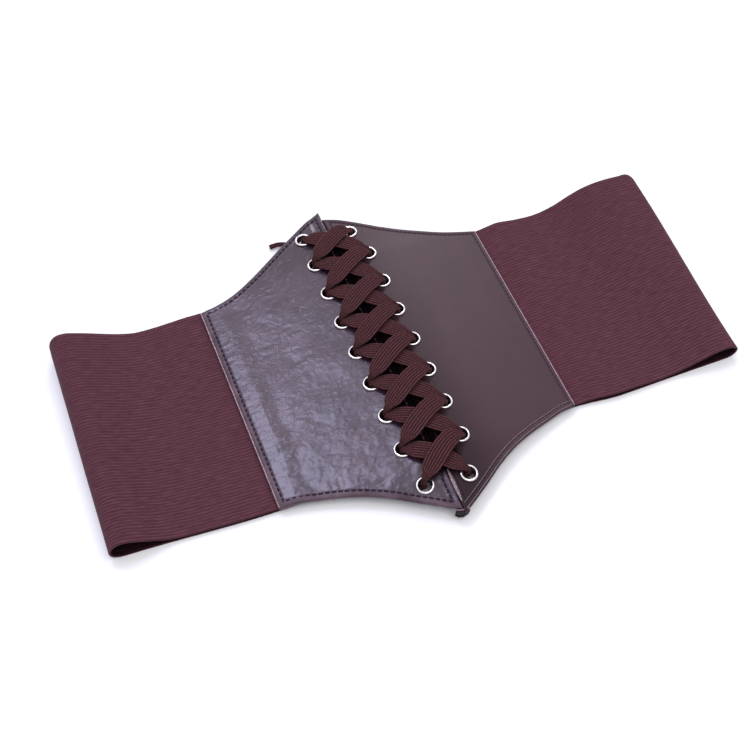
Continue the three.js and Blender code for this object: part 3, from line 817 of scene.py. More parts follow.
def open_holes(side, flat, faces):
    holes = [eyelet_place(side, pair)[:2] for pair in range(EYELET_PAIRS)]
    keep = np.ones(len(faces), dtype=bool)
    centres = flat[faces].mean(axis=1)
    for hole in holes:
        keep &= np.linalg.norm(centres - hole, axis=1) > HOLE_RADIUS
    used = np.zeros(len(flat), dtype=int)
    np.add.at(used, faces[keep].ravel(), 1)
    for hole in holes:
        away = flat - hole
        far = np.linalg.norm(away, axis=1)
        rim = (far < HOLE_RADIUS + RIM_REACH) & (used > 0) & (used < FACES_ROUND_A_CORNER)
        flat[rim] = hole + away[rim] / far[rim, None] * HOLE_RADIUS
    return faces[keep]


print("places along a panel's height:", len(spaced(2 * (HALF_SIDE + SIDE_RISE))))

# %% [markdown]
# Now the panel itself: a flat grid, lifted to its height and dressed with the relief, and the
# same grid again for its inner face. Past the stitches of the seam and the lower hem the left
# panel's skin catches a sheen, which is painted in: those faces have the paler hem finish.

# %% Build the two panels
INNER_TUCK = 0.3


def build_panel(side, name, node, finish, hem_finish):
    width = PANEL_WIDTH - PANEL_PARTING / 2
    along_x = spaced(width)
    low, high = panel_reach(side, along_x / width)
    y = panel_rows(low, high)
    x = side * (PANEL_PARTING / 2 + along_x)[:, None] + np.zeros_like(y)
    edges = {
        "centre": np.abs(x) - PANEL_PARTING / 2,
        "seam": PANEL_WIDTH - np.abs(x),
        "top": (high[:, None] - y) * edge_slant(high, along_x)[:, None],
        "bottom": (y - low[:, None]) * edge_slant(low, along_x)[:, None],
    }
    relief = leather_relief(side, x, y, edges)
    columns, rows = x.shape
    flat = np.stack([x.ravel(), y.ravel()], axis=1)
    faces = open_holes(side, flat, grid_faces(columns - 1, rows - 1))
    faces = faces if side > 0 else faces[:, ::-1]
    under = panel_under(flat[:, 0], flat[:, 1])
    laid = np.column_stack(drift(flat[:, 0], flat[:, 1]))
    outer = np.column_stack([laid, under + PANEL_WALL + relief.ravel()])
    inner = np.column_stack([laid, under + INNER_TUCK * edge_tuck(nearest_of(edges)).ravel()])
    points, solid = closed_sheet(outer, inner, faces)
    piece = make_piece(name, points, solid, finish, [node])
    insets = STITCH_INSETS[side]
    past_stitches = np.minimum(edges["seam"] - insets["seam"], edges["bottom"] - insets["bottom"])
    hem = np.zeros(len(solid), dtype=bool)
    hem[:len(faces)] = past_stitches.ravel()[faces].mean(axis=1) < 0
    add_second_finish(piece, hem_finish, hem)


build_panel(-1, "left_front_panel", "left_panel", left_leather, left_margin_sheen)
build_panel(1, "right_front_panel", "right_panel", right_leather, right_leather)

# %% [markdown]
# ## The elastic
# The band leaves the panel's seam, lies flat, rises over the loop where it turns, and comes back
# underneath to the closure strip. A tape measure run round it would give these points. The CAD
# tables are repeated here, and the smooth curve helper rounds the fold.

# %% The elastic's path from the seam round to the back
ELASTIC_HEIGHT = 130.0
ELASTIC_WALL = 1.4
GAP = 0.3
FOLDS = {
    -1: {"loop": (13.5, 19.0), "reach": (168.0, 168.0), "skew": 4.0, "round": 0.0, "hem": 0.0},
    1: {"loop": (10.8, 17.6), "reach": (178.0, 183.0), "skew": 1.0, "round": 3.0, "hem": 2.3},
}
RISE_RUN = (0.12, 0.25, 0.38, 0.48, 0.57, 0.66, 0.75, 0.83, 0.9)
RISE = {
    -1: ((0.02, 0.02, 0.02, 0.02, 0.03, 0.12, 0.42, 0.74, 0.95),
         (0.03, 0.02, 0.02, 0.06, 0.22, 0.43, 0.66, 0.85, 0.98)),
    1: ((0.14, 0.16, 0.12, 0.06, 0.08, 0.25, 0.58, 0.86, 1.0),
        (0.18, 0.1, 0.13, 0.35, 0.66, 0.9, 1.0, 1.0, 0.96)),
}
FOLD_DEPTH = 9.0
FOLD_TURN = ((0.55, 0.95), (0.88, 0.76), (1.0, 0.46), (0.86, 0.17), (0.5, 0.03))
STRIP_HALF = 17.0
STRIP_WALL = 1.8
BACK_RAMP = 12.0
BACK_PARTING = 1.2


def elastic_path(side, far):
    fold = FOLDS[side]
    half = ELASTIC_WALL / 2
    flat = ELASTIC_WALL + GAP + half
    loop_top = np.interp(far, (0, 1), fold["loop"]) - half
    reach = fold["reach"][0] + (fold["reach"][1] - fold["reach"][0]) * smooth(far) - half
    path = []
    for share in (0.0, 0.5, 1.0):
        x = PANEL_WIDTH - SEAM_LAP * (1 - share)
        path.append((x, float(panel_under(x, 0.0)) - GAP - half))
    near_row, far_row = RISE[side]
    for run, near_rise, far_rise in zip(RISE_RUN, near_row, far_row):
        rise = near_rise + (far_rise - near_rise) * far
        path.append((PANEL_WIDTH + (reach - PANEL_WIDTH) * run, flat + (loop_top - flat) * rise))
    for out, rise in FOLD_TURN:
        path.append((reach - FOLD_DEPTH * (1 - out), half + (loop_top - half) * rise))
    on_strip = STRIP_WALL + GAP + half
    path.append((reach - FOLD_DEPTH, half))
    path.append(((reach - FOLD_DEPTH + STRIP_HALF + BACK_RAMP) / 2, half))
    path.append((STRIP_HALF + BACK_RAMP, half))
    path.append((STRIP_HALF + BACK_RAMP / 2, (half + on_strip) / 2))
    path.append((STRIP_HALF + GAP, on_strip))
    path.append((BACK_PARTING / 2, on_strip))
    return np.array(path)


print("points on the elastic's path:", len(elastic_path(-1, 0.5)))

# %% [markdown]
# The ribs are real relief: four rows of corners to each rib, pushed out along the cloth's own
# outward direction. The first and last two millimetres are the woven edge, which is flat, and
# the ribs are lower where the cloth is pulled tight.

# %% Stations and ribs of the elastic
RIB_HEIGHT = 0.12
ROWS_PER_RIB = 4
SELVEDGE = 2.0
# The bend starts at this point of the path, and ends this many before the last one.
BEND_FIRST, BEND_LAST = 3, 7
BEND_STEP, FLAT_STEP = 2.2, 8.0
SELVEDGE_DROP, SELVEDGE_RIM = 0.2, 0.3
# How loose the cloth is from place to place; where it is tight the ribs are low.
LOOSENESS, LOOSENESS_CHANGE, LEAST_LOOSE = 0.55, 0.9, 0.25
LOOSE_LENGTH, LOOSE_HEIGHT, LOOSE_SEED = 40.0, 22.0, 3.3


def band_stations(knots):
    stations = []
    for i, gap in enumerate(np.diff(knots)):
        bending = BEND_FIRST <= i <= len(knots) - BEND_LAST
        steps = max(2, int(round(gap / (BEND_STEP if bending else FLAT_STEP))))
        stations.append(knots[i] + gap * np.arange(steps) / steps)
    return np.append(np.concatenate(stations), knots[-1])


def rib_relief(side, at, up):
    ribs = RIB_HEIGHT * np.cos(2 * math.pi * up / RIB_PITCH)
    from_end = np.minimum(up, ELASTIC_HEIGHT - up)
    ribs = ribs * smooth(from_end - SELVEDGE) - SELVEDGE_DROP * (from_end < SELVEDGE_RIM)
    seed = LOOSE_SEED * side
    loose = LOOSENESS + LOOSENESS_CHANGE * np.array([
        [noise.noise(Vector((a / LOOSE_LENGTH, b / LOOSE_HEIGHT, seed))) for b in up] for a in at
    ])
    return ribs[None, :] * np.clip(loose, LEAST_LOOSE, 1.0)


print("ribs across the elastic:", int(ELASTIC_HEIGHT / RIB_PITCH))

# %% [markdown]
# The sewing stretches the band's edge, so it spreads a little near the seam, and the far corner
# of the right fold is rounded. Its inner faces get the darker finish, painted shade.

# %% Build the two halves of the elastic
SEAM_FLARE = 2.8
SEAM_FLARE_LENGTH = 55.0
HEM_FLARE_LENGTH = 26.0
# The right fold's far corner is rounded over this length and this share of the height.
ROUND_LENGTH = 8.0
ROUND_FROM, ROUND_RUN = 0.93, 0.07


def band_surface(side, line, outward, far, offset):
    fold = FOLDS[side]
    from_seam = line[..., 0] - PANEL_WIDTH
    upper, lower = smooth((far - 0.5)[None, :] / 0.5), smooth((0.5 - far)[None, :] / 0.5)
    corner = smooth((far - ROUND_FROM)[None, :] / ROUND_RUN)
    slide = fold["skew"] * smooth(from_seam / (fold["reach"][0] - PANEL_WIDTH))
    near_seam = 1 - smooth(from_seam / SEAM_FLARE_LENGTH)
    at_hem = 1 - smooth(from_seam / HEM_FLARE_LENGTH)
    near_fold = smooth((line[..., 0] - fold["reach"][1] + ROUND_LENGTH) / ROUND_LENGTH)
    y = (far - 0.5)[None, :] * ELASTIC_HEIGHT + slide + SEAM_FLARE * near_seam * upper
    y = y + at_hem * (fold["hem"] * lower) - fold["round"] * near_fold * corner
    x = side * (line[..., 0] + outward[..., 0] * offset)
    z = np.maximum(line[..., 1], ELASTIC_WALL / 2) + outward[..., 1] * offset
    return np.stack([x, y, z], axis=2).reshape(-1, 3)


def build_elastic(side, name, node):
    rows = int(ELASTIC_HEIGHT / RIB_PITCH) * ROWS_PER_RIB
    far = np.linspace(0, 1, rows + 1)
    up = far * ELASTIC_HEIGHT
    paths = np.stack([elastic_path(side, float(f)) for f in far], axis=1)
    knots = lengths_along(paths[:, rows // 2])
    at = band_stations(knots)
    line = curve_through(knots, paths, at)
    along = np.gradient(line, at, axis=0)
    along /= np.linalg.norm(along, axis=2, keepdims=True)
    outward = np.stack([-along[..., 1], along[..., 0]], axis=2)
    push = ELASTIC_WALL / 2 - RIB_HEIGHT + rib_relief(side, at, up)
    outer = band_surface(side, line, outward, far, push)
    inner = band_surface(side, line, outward, far, -push)
    faces = grid_faces(len(at) - 1, rows)
    points, solid = closed_sheet(outer, inner, faces if side > 0 else faces[:, ::-1])
    cloth = np.column_stack([np.repeat(at, rows + 1), np.tile(up, len(at))])
    places = np.tile(cloth, (2, 1))
    piece = make_piece(name, points, solid, elastic_finish, [node], places)
    order = np.arange(len(solid))
    add_second_finish(piece, shaded_elastic, (order >= len(faces)) & (order < 2 * len(faces)))
    print(name, "faces:", len(solid), "length (mm):", round(float(knots[-1])))


build_elastic(-1, "left_elastic_band", "left_elastic")
build_elastic(1, "right_elastic_band", "right_elastic")

# %% [markdown]
# The closure strip is hidden under the belt's back, so the CAD piece stays as it is and gets a
# leather finish.

# %% Finish the closure strip
closure_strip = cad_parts["back_closure"]
closure_strip.data.materials.clear()
closure_strip.data.materials.append(closure_finish)
print("closure strip (mm):", [round((b - a) / MM, 1) for a, b in zip(strip_low, strip_high)])

# %% [markdown]
# ## The eyelets
# An eyelet is a small tube of plated metal whose ends are rolled outwards on both faces of the
# leather. Turning a profile round an axis, as a lathe does, gives exactly that. The profile's
# last two faces are the bore, painted near-black as the shade inside the hole.

# %% Turn the eyelets
FLANGE = 4.8
BORE = 3.25
SEAT_GAP = 0.32
SEAT = PANEL_WALL / 2 + SEAT_GAP
TURNS = 48
BORE_FACES = 2
RING_PROFILE = (
    (BORE, -SEAT - 0.8), (FLANGE - 0.6, -SEAT - 0.8), (FLANGE - 0.4, -SEAT - 0.3),
    (BORE + 0.4, -SEAT), (BORE + 0.4, SEAT), (FLANGE - 0.1, SEAT - 0.15),
    (FLANGE, SEAT + 0.1), (FLANGE - 0.12, SEAT + 0.42), (FLANGE - 0.42, SEAT + 0.72),
    (FLANGE - 0.8, SEAT + 0.82), (FLANGE - 1.15, SEAT + 0.68), (BORE + 0.12, SEAT + 0.35),
    (BORE, SEAT - 0.2),
)


def build_eyelet(side, pair):
    place = eyelet_place(side, pair)
    square = panel_up(place)
    first = np.cross([0.0, 1.0, 0.0], square)
    first /= np.linalg.norm(first)
    second = np.cross(square, first)
    centre = place + square * PANEL_WALL / 2
    points = []
    for k in range(TURNS):
        angle = 2 * math.pi * k / TURNS
        outwards = math.cos(angle) * first + math.sin(angle) * second
        points += [centre + outwards * r + square * z for r, z in RING_PROFILE]
    n = len(RING_PROFILE)
    faces = []
    for k in range(TURNS):
        for i in range(n):
            a, b = k * n + i, k * n + (i + 1) % n
            c, d = ((k + 1) % TURNS) * n + (i + 1) % n, ((k + 1) % TURNS) * n + i
            faces.append((a, d, c, b))
    hand = "left" if side < 0 else "right"
    node = f"eyelet_{hand}_{pair + 1}"
    ring = make_piece(f"{hand}_ring_{pair + 1}", points, faces, nickel, [node])
    add_second_finish(ring, shaded_bore, np.arange(len(faces)) % n >= n - BORE_FACES)


for side in (-1, 1):
    for pair in range(EYELET_PAIRS):
        build_eyelet(side, pair)
print("eyelets:", 2 * EYELET_PAIRS)

# %% [markdown]
# ## The lace
# One flat lace goes through all the eyelets. It goes down the front as the straps beneath, steps
# from eyelet to eyelet behind the panels, crosses over behind the last pair but one, and comes
# back up as the straps on top. In each eyelet two strands share the hole, bunched small. The
# stations below are those of the CAD model: a place, a width, a thickness and a direction for
# the width.

# %% Stations along the lace
LACE_WALL = 1.2
HOLE_DIAMETER = 6.5
FLANGE_SEAT = 0.4
FLANGE_WALL = 0.8
BUNCH = HOLE_DIAMETER / 2 - 2 * GAP
BUNCH_SHIFT = (BUNCH + GAP) / 2
RIM_TOP = PANEL_WALL + FLANGE_SEAT + FLANGE_WALL
RIM_BOTTOM = FLANGE_SEAT + FLANGE_WALL
BEHIND_DROP = RIM_BOTTOM + GAP + BUNCH / 2
OVER, UNDER = 1, -1
SIDEWISE = np.array([1.0, 0.0, 0.0])
LENGTHWISE = np.array([0.0, 1.0, 0.0])
lace_stations = []


def add_station(place, width, wall, across):
    across = np.asarray(across) / np.linalg.norm(across)
    if lace_stations and np.dot(lace_stations[-1][3], across) < 0:
        across = -across
    lace_stations.append((np.array(place), width, wall, across))


def bunch_place(side, pair, strand):
    half = strand if side < 0 else -strand
    hole = eyelet_place(side, pair)
    square = panel_up(hole)
    upwards = np.array([0.0, square[2], -square[1]])
    upwards /= np.linalg.norm(upwards)
    return hole + upwards * half * BUNCH_SHIFT, square


print("a bunched strand is this wide (mm):", round(BUNCH, 2))

# %% [markdown]
# A strap comes up through one eyelet, spreads flat over the gap and goes down through the next.
# Its table gives, for each station, how far along it is, how high it stands, how far it bows
# aside and how flat it is spread. Behind the panels there are only hops, one crossing and the
# two ends.

# %% Straps, hops and ends
BEHIND = -RIM_BOTTOM - 0.45 * BUNCH
CREST = RIM_TOP + 0.3 * BUNCH
STRAP_BUNCH = 0.8 * BUNCH
TURN_WALL = 0.7 * BUNCH
HOP_WIDTH = 4.6
HOP_WALL = 1.7
HOP_SIDE = 3.6
HOP_STEPS = (0.08, 0.5, 0.92)
CROSSING_STEPS = (0.1, 0.3, 0.7, 0.9)
TAIL_STEPS = ((0.18, 0.25), (0.45, 0.72), (0.7, 0.97), (1.0, 1.0))
SEEN_TAIL, SEEN_TAIL_RISE = 18.2, 10.0
HIDDEN_TAIL = 14.0
STRAP = {
    OVER: (
        (0.06, 4.0, 0.1, 0.3), (0.14, 4.4, 0.5, 0.72), (0.3, 4.7, 1.3, 0.97), (0.5, 4.7, 2.2, 1.0),
        (0.72, 4.7, 2.8, 1.0), (0.87, 4.6, 2.2, 0.92), (0.95, 4.3, 0.8, 0.5),
    ),
    UNDER: (
        (0.05, 2.0, 0.3, 0.4), (0.13, 2.2, 1.2, 0.85), (0.3, 2.5, 2.2, 1.0), (0.5, 2.6, 2.0, 1.0),
        (0.7, 2.5, 1.2, 0.95), (0.86, 2.25, 0.5, 0.7), (0.94, 2.0, 0.1, 0.3),
    ),
}


def add_strap(start_hole, end_hole, strand, after):
    start, start_up = bunch_place(*start_hole, strand)
    end, end_up = bunch_place(*end_hole, strand)
    across = np.array([-(end - start)[1], (end - start)[0], 0.0])
    across /= np.linalg.norm(across)
    before = lace_stations[-1][3]
    for depth, twist in ((BEHIND, before), (PANEL_WALL / 2, before), (CREST, across)):
        add_station(start + start_up * depth, BUNCH, BUNCH, twist)
    upwards = across * np.sign(across[1])
    rightwards = start_hole[0] < 0
    for share, rise, aside, spread in STRAP[strand][::1 if rightwards else -1]:
        along = share if rightwards else 1 - share
        place = start + (end - start) * along + upwards * aside
        place[2] = float(panel_under(place[0], place[1])) + PANEL_WALL + GAP + rise
        width = BUNCH + (LACE_WIDTH - BUNCH) * spread
        wall = STRAP_BUNCH + (LACE_WALL - STRAP_BUNCH) * float(smooth(spread))
        add_station(place, width, wall, across)
    for depth, twist in ((CREST, across), (PANEL_WALL / 2, after), (BEHIND, after)):
        add_station(end + end_up * depth, BUNCH, BUNCH, twist)


def add_run(start, end, steps, aside, across):
    for step, along in enumerate(steps):
        place = start + (end - start) * along
        place[0] += aside
        place[2] = float(panel_under(place[0], place[1])) - BEHIND_DROP
        middle = 0 < step < len(steps) - 1
        width, wall = (HOP_WIDTH, HOP_WALL) if middle else (BUNCH, TURN_WALL)
        add_station(place, width, wall, across)


def add_hop(side, first, second, strand):
    start = bunch_place(side, first, strand)[0]
    end = bunch_place(side, second, strand)[0]
    add_run(start, end, HOP_STEPS, -strand * HOP_SIDE, SIDEWISE)


def tail_places(side, strand, length, rise):
    hole = bunch_place(side, 0, strand)[0]
    for along, risen in TAIL_STEPS:
        place = hole + np.array([side * length * along, rise * risen, 0.0])
        place[2] = float(panel_under(place[0], place[1])) - BEHIND_DROP
        yield place


print("stations on each strap:", len(STRAP[OVER]))

# %% [markdown]
# The order below is the order in which a hand would thread the lace. Strap k joins two eyelets
# of neighbouring pairs, every second one from left to right, and after each strap the lace hops
# to the next eyelet on the side where it has arrived.

# %% Thread the lace
LAST_STRAP = EYELET_PAIRS - 2


def thread_straps(order, strand):
    onward = order[1] - order[0]
    for k in order:
        left, right = ((-1, k), (1, k + 1)) if strand == UNDER else ((-1, k + 1), (1, k))
        start, end = (left, right) if k % 2 == 0 else (right, left)
        last = k == order[-1]
        add_strap(start, end, strand, LENGTHWISE if last else SIDEWISE)
        if not last:
            add_hop(end[0], end[1], end[1] + onward, strand)


def add_tail(places):
    for place in places:
        add_station(place, BUNCH, TURN_WALL, LENGTHWISE)


add_tail(reversed(list(tail_places(-1, UNDER, SEEN_TAIL, SEEN_TAIL_RISE))))
thread_straps(range(LAST_STRAP + 1), UNDER)
add_run(
    bunch_place(-1, LAST_STRAP, UNDER)[0], bunch_place(1, LAST_STRAP, OVER)[0],
    CROSSING_STEPS, 0.0, LENGTHWISE,
)
thread_straps(range(LAST_STRAP, -1, -1), OVER)
add_tail(tail_places(1, OVER, HIDDEN_TAIL, 0.0))
print("lace stations:", len(lace_stations))

# %% [markdown]
# The section of the lace is a flattened oval with seven ribs on each face. It is swept through
# smooth curves of all the stations' values, so that it narrows, twists and spreads in between
# as a soft braid does.

# %% Sweep the lace
FACE_POINTS = 42
LACE_STEP = 1.3
LACE_SQUARENESS = 5
LACE_GROOVE = 0.3


def lace_section():
    section = []
    for face in (1, -1):
        for k in range(FACE_POINTS):
            w = face * (0.5 - k / FACE_POINTS)
            body = (1 - abs(2 * w) ** LACE_SQUARENESS) ** 0.5
            groove = (0.5 + 0.5 * math.cos(2 * math.pi * LACE_RIBS * (w + 0.5))) ** 2
            section.append((w, face * 0.5 * body * (1 - LACE_GROOVE * groove)))
    return np.array(section)


def build_lace():
    spots = np.array([s[0] for s in lace_stations])
    gaps = np.linalg.norm(np.diff(spots, axis=0), axis=1)
    knots = np.concatenate([[0], np.cumsum(gaps)])
    counts = np.maximum(2, np.ceil(gaps / LACE_STEP)).astype(int)
    at = [knot + gap * np.arange(n) / n for knot, gap, n in zip(knots, gaps, counts)]
    at = np.append(np.concatenate(at), knots[-1])
    place, width, wall, across = (
        curve_through(knots, np.array([s[part] for s in lace_stations]), at) for part in range(4)
    )
    section = lace_section()
    points, faces = sweep(place, across, section, width, wall)
    u = np.repeat(at, len(section))
    v = np.tile(section[:, 0] * LACE_WIDTH, len(at))
    cloth = np.column_stack([u, v])
    make_piece("front_lace", points, faces, lace_finish, ["lace"], cloth)
    print("lace length (mm):", round(float(knots[-1])), "faces:", len(faces))


build_lace()

# %% [markdown]
# ## Stitches
# A row of dark stitches runs round each panel, about three millimetres inside its edge. They
# show as dashes on the left panel, where the thread is thick and pulled tight, and hardly at all
# on the right one. Each stitch is a short bead of thread that dives into the leather at both
# ends. One mesh holds all of a panel's stitches.

# %% Sew round the panels
STITCHES = {
    -1: {"pitch": 3.2, "length": 1.7, "radius": 0.55},
    1: {"pitch": 2.6, "length": 1.9, "radius": 0.2},
}
STITCH_PROFILE = ((0.0, -0.2), (0.05, -0.08), (0.2, 0.0), (0.32, 0.04))
STITCH_DEPTH = 0.12
OUTLINE_POINTS = 120
CORD_SIDES = 8


def stitch_line(side):
    width = PANEL_WIDTH - PANEL_PARTING / 2
    insets = STITCH_INSETS[side]
    x = np.linspace(insets["centre"], width - insets["seam"], OUTLINE_POINTS)
    low, high = panel_reach(side, x / width)
    top = np.column_stack([x, high - insets["top"] / edge_slant(high, x)])
    bottom = np.column_stack([x, low + insets["bottom"] / edge_slant(low, x)])
    loop = np.concatenate([bottom, top[::-1], bottom[:1]])
    loop[:, 0] = side * (PANEL_PARTING / 2 + loop[:, 0])
    return loop


def on_leather(x, y, above):
    return np.array([*drift(x, y), float(panel_under(x, y)) + PANEL_WALL + above])


def sew(side, name):
    thread = STITCHES[side]
    mirrored = [(1 - share, rise) for share, rise in STITCH_PROFILE[::-1]]
    shares, rises = np.transpose([*STITCH_PROFILE, *mirrored])
    loop = stitch_line(side)
    knots = lengths_along(loop)
    count = int(knots[-1] / thread["pitch"])
    points, faces = [], []
    for k in range(count):
        at = k * thread["pitch"] + shares * thread["length"]
        x, y = np.interp(at, knots, loop[:, 0]), np.interp(at, knots, loop[:, 1])
        path = [on_leather(a, b, rise - STITCH_DEPTH) for a, b, rise in zip(x, y, rises)]
        across = np.cross(path[-1] - path[0], [0.0, 0.0, 1.0])
        radius = thread["radius"]
        corners, sides = sweep(path, across, round_section(CORD_SIDES), radius, radius)
        faces += [[i + len(points) for i in face] for face in sides]
        points += corners.tolist()
    make_piece(name, points, faces, dark_thread)
    print(name, "stitches:", count)


sew(-1, "left_panel_stitches")
sew(1, "right_panel_stitches")

# %% [markdown]
# The leather isn't turned over where it meets the elastic, so its cut edge shows there as a thin
# pale line. Along the right panel's lower hem the sharp folds catch the light in two fine lines,
# and near the lower tip a thin strip of light runs along the inner edge; both are painted
# highlights in a pale finish. Slim cords laid along the leather stand for all of them.

# %% Pale lines along seams and hems
SEAM_LINE_POINTS = 90
SEAM_LINE_ENDS = 0.6
SEAM_LINE_INSET = 0.3
SEAM_LINE_DEPTH = 0.35
SEAM_LINE_WAVER, WAVER_LENGTH = 0.08, 5.0
SEAM_LINE_WIDTH, SEAM_LINE_WALL = 0.8, 0.9
HEM_HIGHLIGHT_ENDS = 1.5
# Two painted highlights along the right lower hem, where its sharp folds catch the light.
HEM_HIGHLIGHTS = {"outer": (0.9, -0.2, 0.35), "inner": (3.5, -0.1, 0.3)}
# A painted highlight along the inner edge near the lower tip.
EDGE_GLINT_TOP, EDGE_GLINT_BOTTOM = -79.0, -97.5
EDGE_GLINT_POINTS = 38
EDGE_GLINT_INSET, EDGE_GLINT_WAVER, EDGE_GLINT_RISE = 0.95, 0.15, 0.05
EDGE_GLINT_LENGTH, EDGE_GLINT_SEED = 1.3, 7.0
EDGE_GLINT_WIDTH, EDGE_GLINT_WALL, EDGE_GLINT_CHANGE = 2.0, 0.5, 0.5
EDGE_GLINT_SWELL = (0.12, 0.9)


def along_seam(side):
    top = HALF_SIDE - SEAM_LINE_ENDS
    path = []
    for y in np.linspace(-top, top, SEAM_LINE_POINTS):
        waver = SEAM_LINE_WAVER * noise.noise(Vector((y / WAVER_LENGTH, side, 0.0)))
        x = side * (PANEL_WIDTH - SEAM_LINE_INSET + waver)
        path.append(on_leather(x, y, -MARGIN_FALL[side]["seam"] - SEAM_LINE_DEPTH))
    return path


def along_hem(side, inset, above):
    width = PANEL_WIDTH - PANEL_PARTING / 2
    x = np.linspace(HEM_HIGHLIGHT_ENDS, width - HEM_HIGHLIGHT_ENDS, OUTLINE_POINTS)
    low, _ = panel_reach(side, x / width)
    y = low + inset / edge_slant(low, x)
    return [on_leather(side * (PANEL_PARTING / 2 + a), b, above) for a, b in zip(x, y)]


def lay_cord(name, path, width, height, finish):
    along = np.asarray(path[-1]) - np.asarray(path[0])
    across = np.cross(along, [0.0, 0.0, 1.0])
    points, faces = sweep(path, across, round_section(CORD_SIDES), width / 2, height / 2)
    make_piece(name, points, faces, finish)


for side, hand in ((-1, "left"), (1, "right")):
    path = along_seam(side)
    lay_cord(f"{hand}_seam_cut_edge", path, SEAM_LINE_WIDTH, SEAM_LINE_WALL, cut_edge)
for place, (inset, above, size) in HEM_HIGHLIGHTS.items():
    lay_cord(f"right_hem_{place}_line", along_hem(1, inset, above), size, size, pale_backing_and_painted_highlight)
glint_heights = np.linspace(EDGE_GLINT_TOP, EDGE_GLINT_BOTTOM, EDGE_GLINT_POINTS)
glint_wavers = np.array([noise.noise(Vector((y / EDGE_GLINT_LENGTH, EDGE_GLINT_SEED, 0.0))) for y in glint_heights])
glint_insets = EDGE_GLINT_INSET + EDGE_GLINT_WAVER * glint_wavers
edge_path = [on_leather(x, y, EDGE_GLINT_RISE) for x, y in zip(glint_insets, glint_heights)]
swell = np.sin(np.linspace(*EDGE_GLINT_SWELL, EDGE_GLINT_POINTS) * np.pi)
edge_widths = EDGE_GLINT_WIDTH * swell * (1.0 + EDGE_GLINT_CHANGE * glint_wavers)
lay_cord("right_inner_edge_painted_glint", edge_path, edge_widths, EDGE_GLINT_WALL, pale_backing_and_painted_highlight)
print("pale lines laid")

# %% [markdown]
# The panels' lower tips end in a small folded corner: the leather is doubled back there and
# shows the slit of its fold, and the fold is painted near-black as its shade. A sliver of backing
# pokes out above it as a pale line, and at the upper tip one loose end of sewing thread sticks out.

# %% The folded corner and the loose thread
def folded_section(lip, slit):
    outer = [(-0.5, -0.5), (0.35, -0.5), (0.5, -0.25), (0.5, 0.25), (0.35, 0.5), (-0.5, 0.5)]
    inner = [(-0.5, 0.5 - lip), (0.1, slit / 2), (0.1, -slit / 2), (-0.5, lip - 0.5)]
    return np.array(outer + inner)


corner_path = [
    (-3.4, -100.0, 5.4), (-2.2, -100.9, 5.3), (-0.6, -101.3, 5.5), (1.2, -101.1, 6.0),
    (2.8, -100.3, 6.6),
]
corner_across = (0.35, 1.0, 0.0)
corner_widths = [2.4, 3.0, 3.2, 3.0, 2.4]
corner_walls = [2.6, 3.8, 4.2, 3.8, 3.0]
corner_section = folded_section(lip=0.22, slit=0.5)
points, faces = sweep(corner_path, corner_across, corner_section, corner_widths, corner_walls)
make_piece("folded_corner", points, faces, shaded_fold_leather)
corner_line = [(-3.9, -99.9, 8.0), (-1.8, -101.0, 8.3), (0.6, -101.7, 8.5), (3.3, -101.3, 8.9)]
lay_cord("folded_corner_backing", corner_line, 0.7, 0.7, pale_backing_and_painted_highlight)
loose_knots = [(-1.3, 109.6, 9.0), (1.0, 110.6, 9.6), (3.7, 111.3, 9.4)]
loose_end = curve_through([0, 1, 2], loose_knots, np.linspace(0, 2, 9))
lay_cord("loose_thread_end", loose_end, 0.22, 0.22, pale_thread)
print("small parts of the tips made")

# %% [markdown]
# ## Floor and light
# The photograph is a catalogue picture on white, with light from all round, brighter overhead,
# so there is a white floor under a world that brightens towards the top.

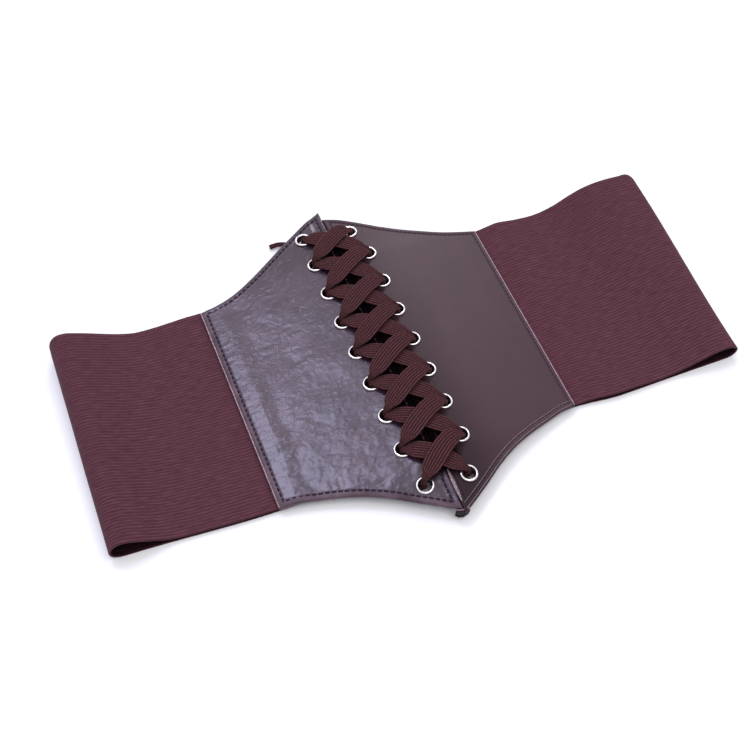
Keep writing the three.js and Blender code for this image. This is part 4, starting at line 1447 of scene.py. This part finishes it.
# %% Floor and world
HORIZON = (0.18, 0.18, 0.2)
ZENITH = (1.04, 1.04, 1.08)
FLOOR_HALF = 4
floor_mesh = bpy.data.meshes.new("white_floor")
floor_signs = ((-1, -1), (1, -1), (1, 1), (-1, 1))
floor_corners = [(x * FLOOR_HALF, y * FLOOR_HALF, 0) for x, y in floor_signs]
floor_mesh.from_pydata(floor_corners, [], [(0, 1, 2, 3)])
floor = bpy.data.objects.new("white_floor", floor_mesh)
bpy.context.collection.objects.link(floor)
floor_finish = bpy.data.materials.new("white_paper")
floor_finish.use_nodes = True
floor_shader = floor_finish.node_tree.nodes["Principled BSDF"]
floor_shader.inputs["Base Color"].default_value = (0.93, 0.93, 0.95, 1.0)
floor_shader.inputs["Roughness"].default_value = 0.9
floor_shader.inputs["Specular IOR Level"].default_value = 0.0
floor_mesh.materials.append(floor_finish)

world = bpy.data.worlds.new("studio")
world.use_nodes = True
sky = world.node_tree
background = sky.nodes["Background"]
direction = add_node(sky, "ShaderNodeTexCoord")
heights = add_node(sky, "ShaderNodeSeparateXYZ")
join(sky, direction, "Generated", heights, "Vector")
brightness = add_ramp(sky, heights, "Z", [(0.0, HORIZON), (0.75, ZENITH)])
join(sky, brightness, "Color", background, "Color")
background.inputs["Strength"].default_value = 1.0
bpy.context.scene.world = world
print("the world overhead is", round(ZENITH[1] / HORIZON[1], 1), "times as bright as at its foot")

# %% [markdown]
# A window-like light stands behind the belt to the left, and the glossy left panel mirrors it.
# Two more large soft lights, behind to the right and in front, keep the rest even.

# %% Lights
LIGHTS = (
    ("window", (-0.29, 0.87, 1.78), (0.6, 0.6), 9.4, (0.7, 0.69, 1.0)),
    ("back_right_glow", (0.66, 1.39, 1.26), (0.45, 0.3), 6.5, (1.0, 0.95, 1.0)),
    ("front_fill", (0.3, -0.9, 2.1), (1.4, 1.4), 12, (1.0, 0.98, 0.97)),
)


def add_soft_light(name, place, size, watts, colour):
    data = bpy.data.lights.new(name, "AREA")
    data.shape = "RECTANGLE"
    data.size, data.size_y = size
    data.energy = watts
    data.color = colour
    light = bpy.data.objects.new(name, data)
    bpy.context.collection.objects.link(light)
    light.location = place
    light.rotation_euler = (-Vector(place)).to_track_quat("-Z", "Y").to_euler()


for light in LIGHTS:
    add_soft_light(*light)
bpy.context.scene.view_settings.view_transform = "Standard"
print("lights:", len(bpy.data.lights))
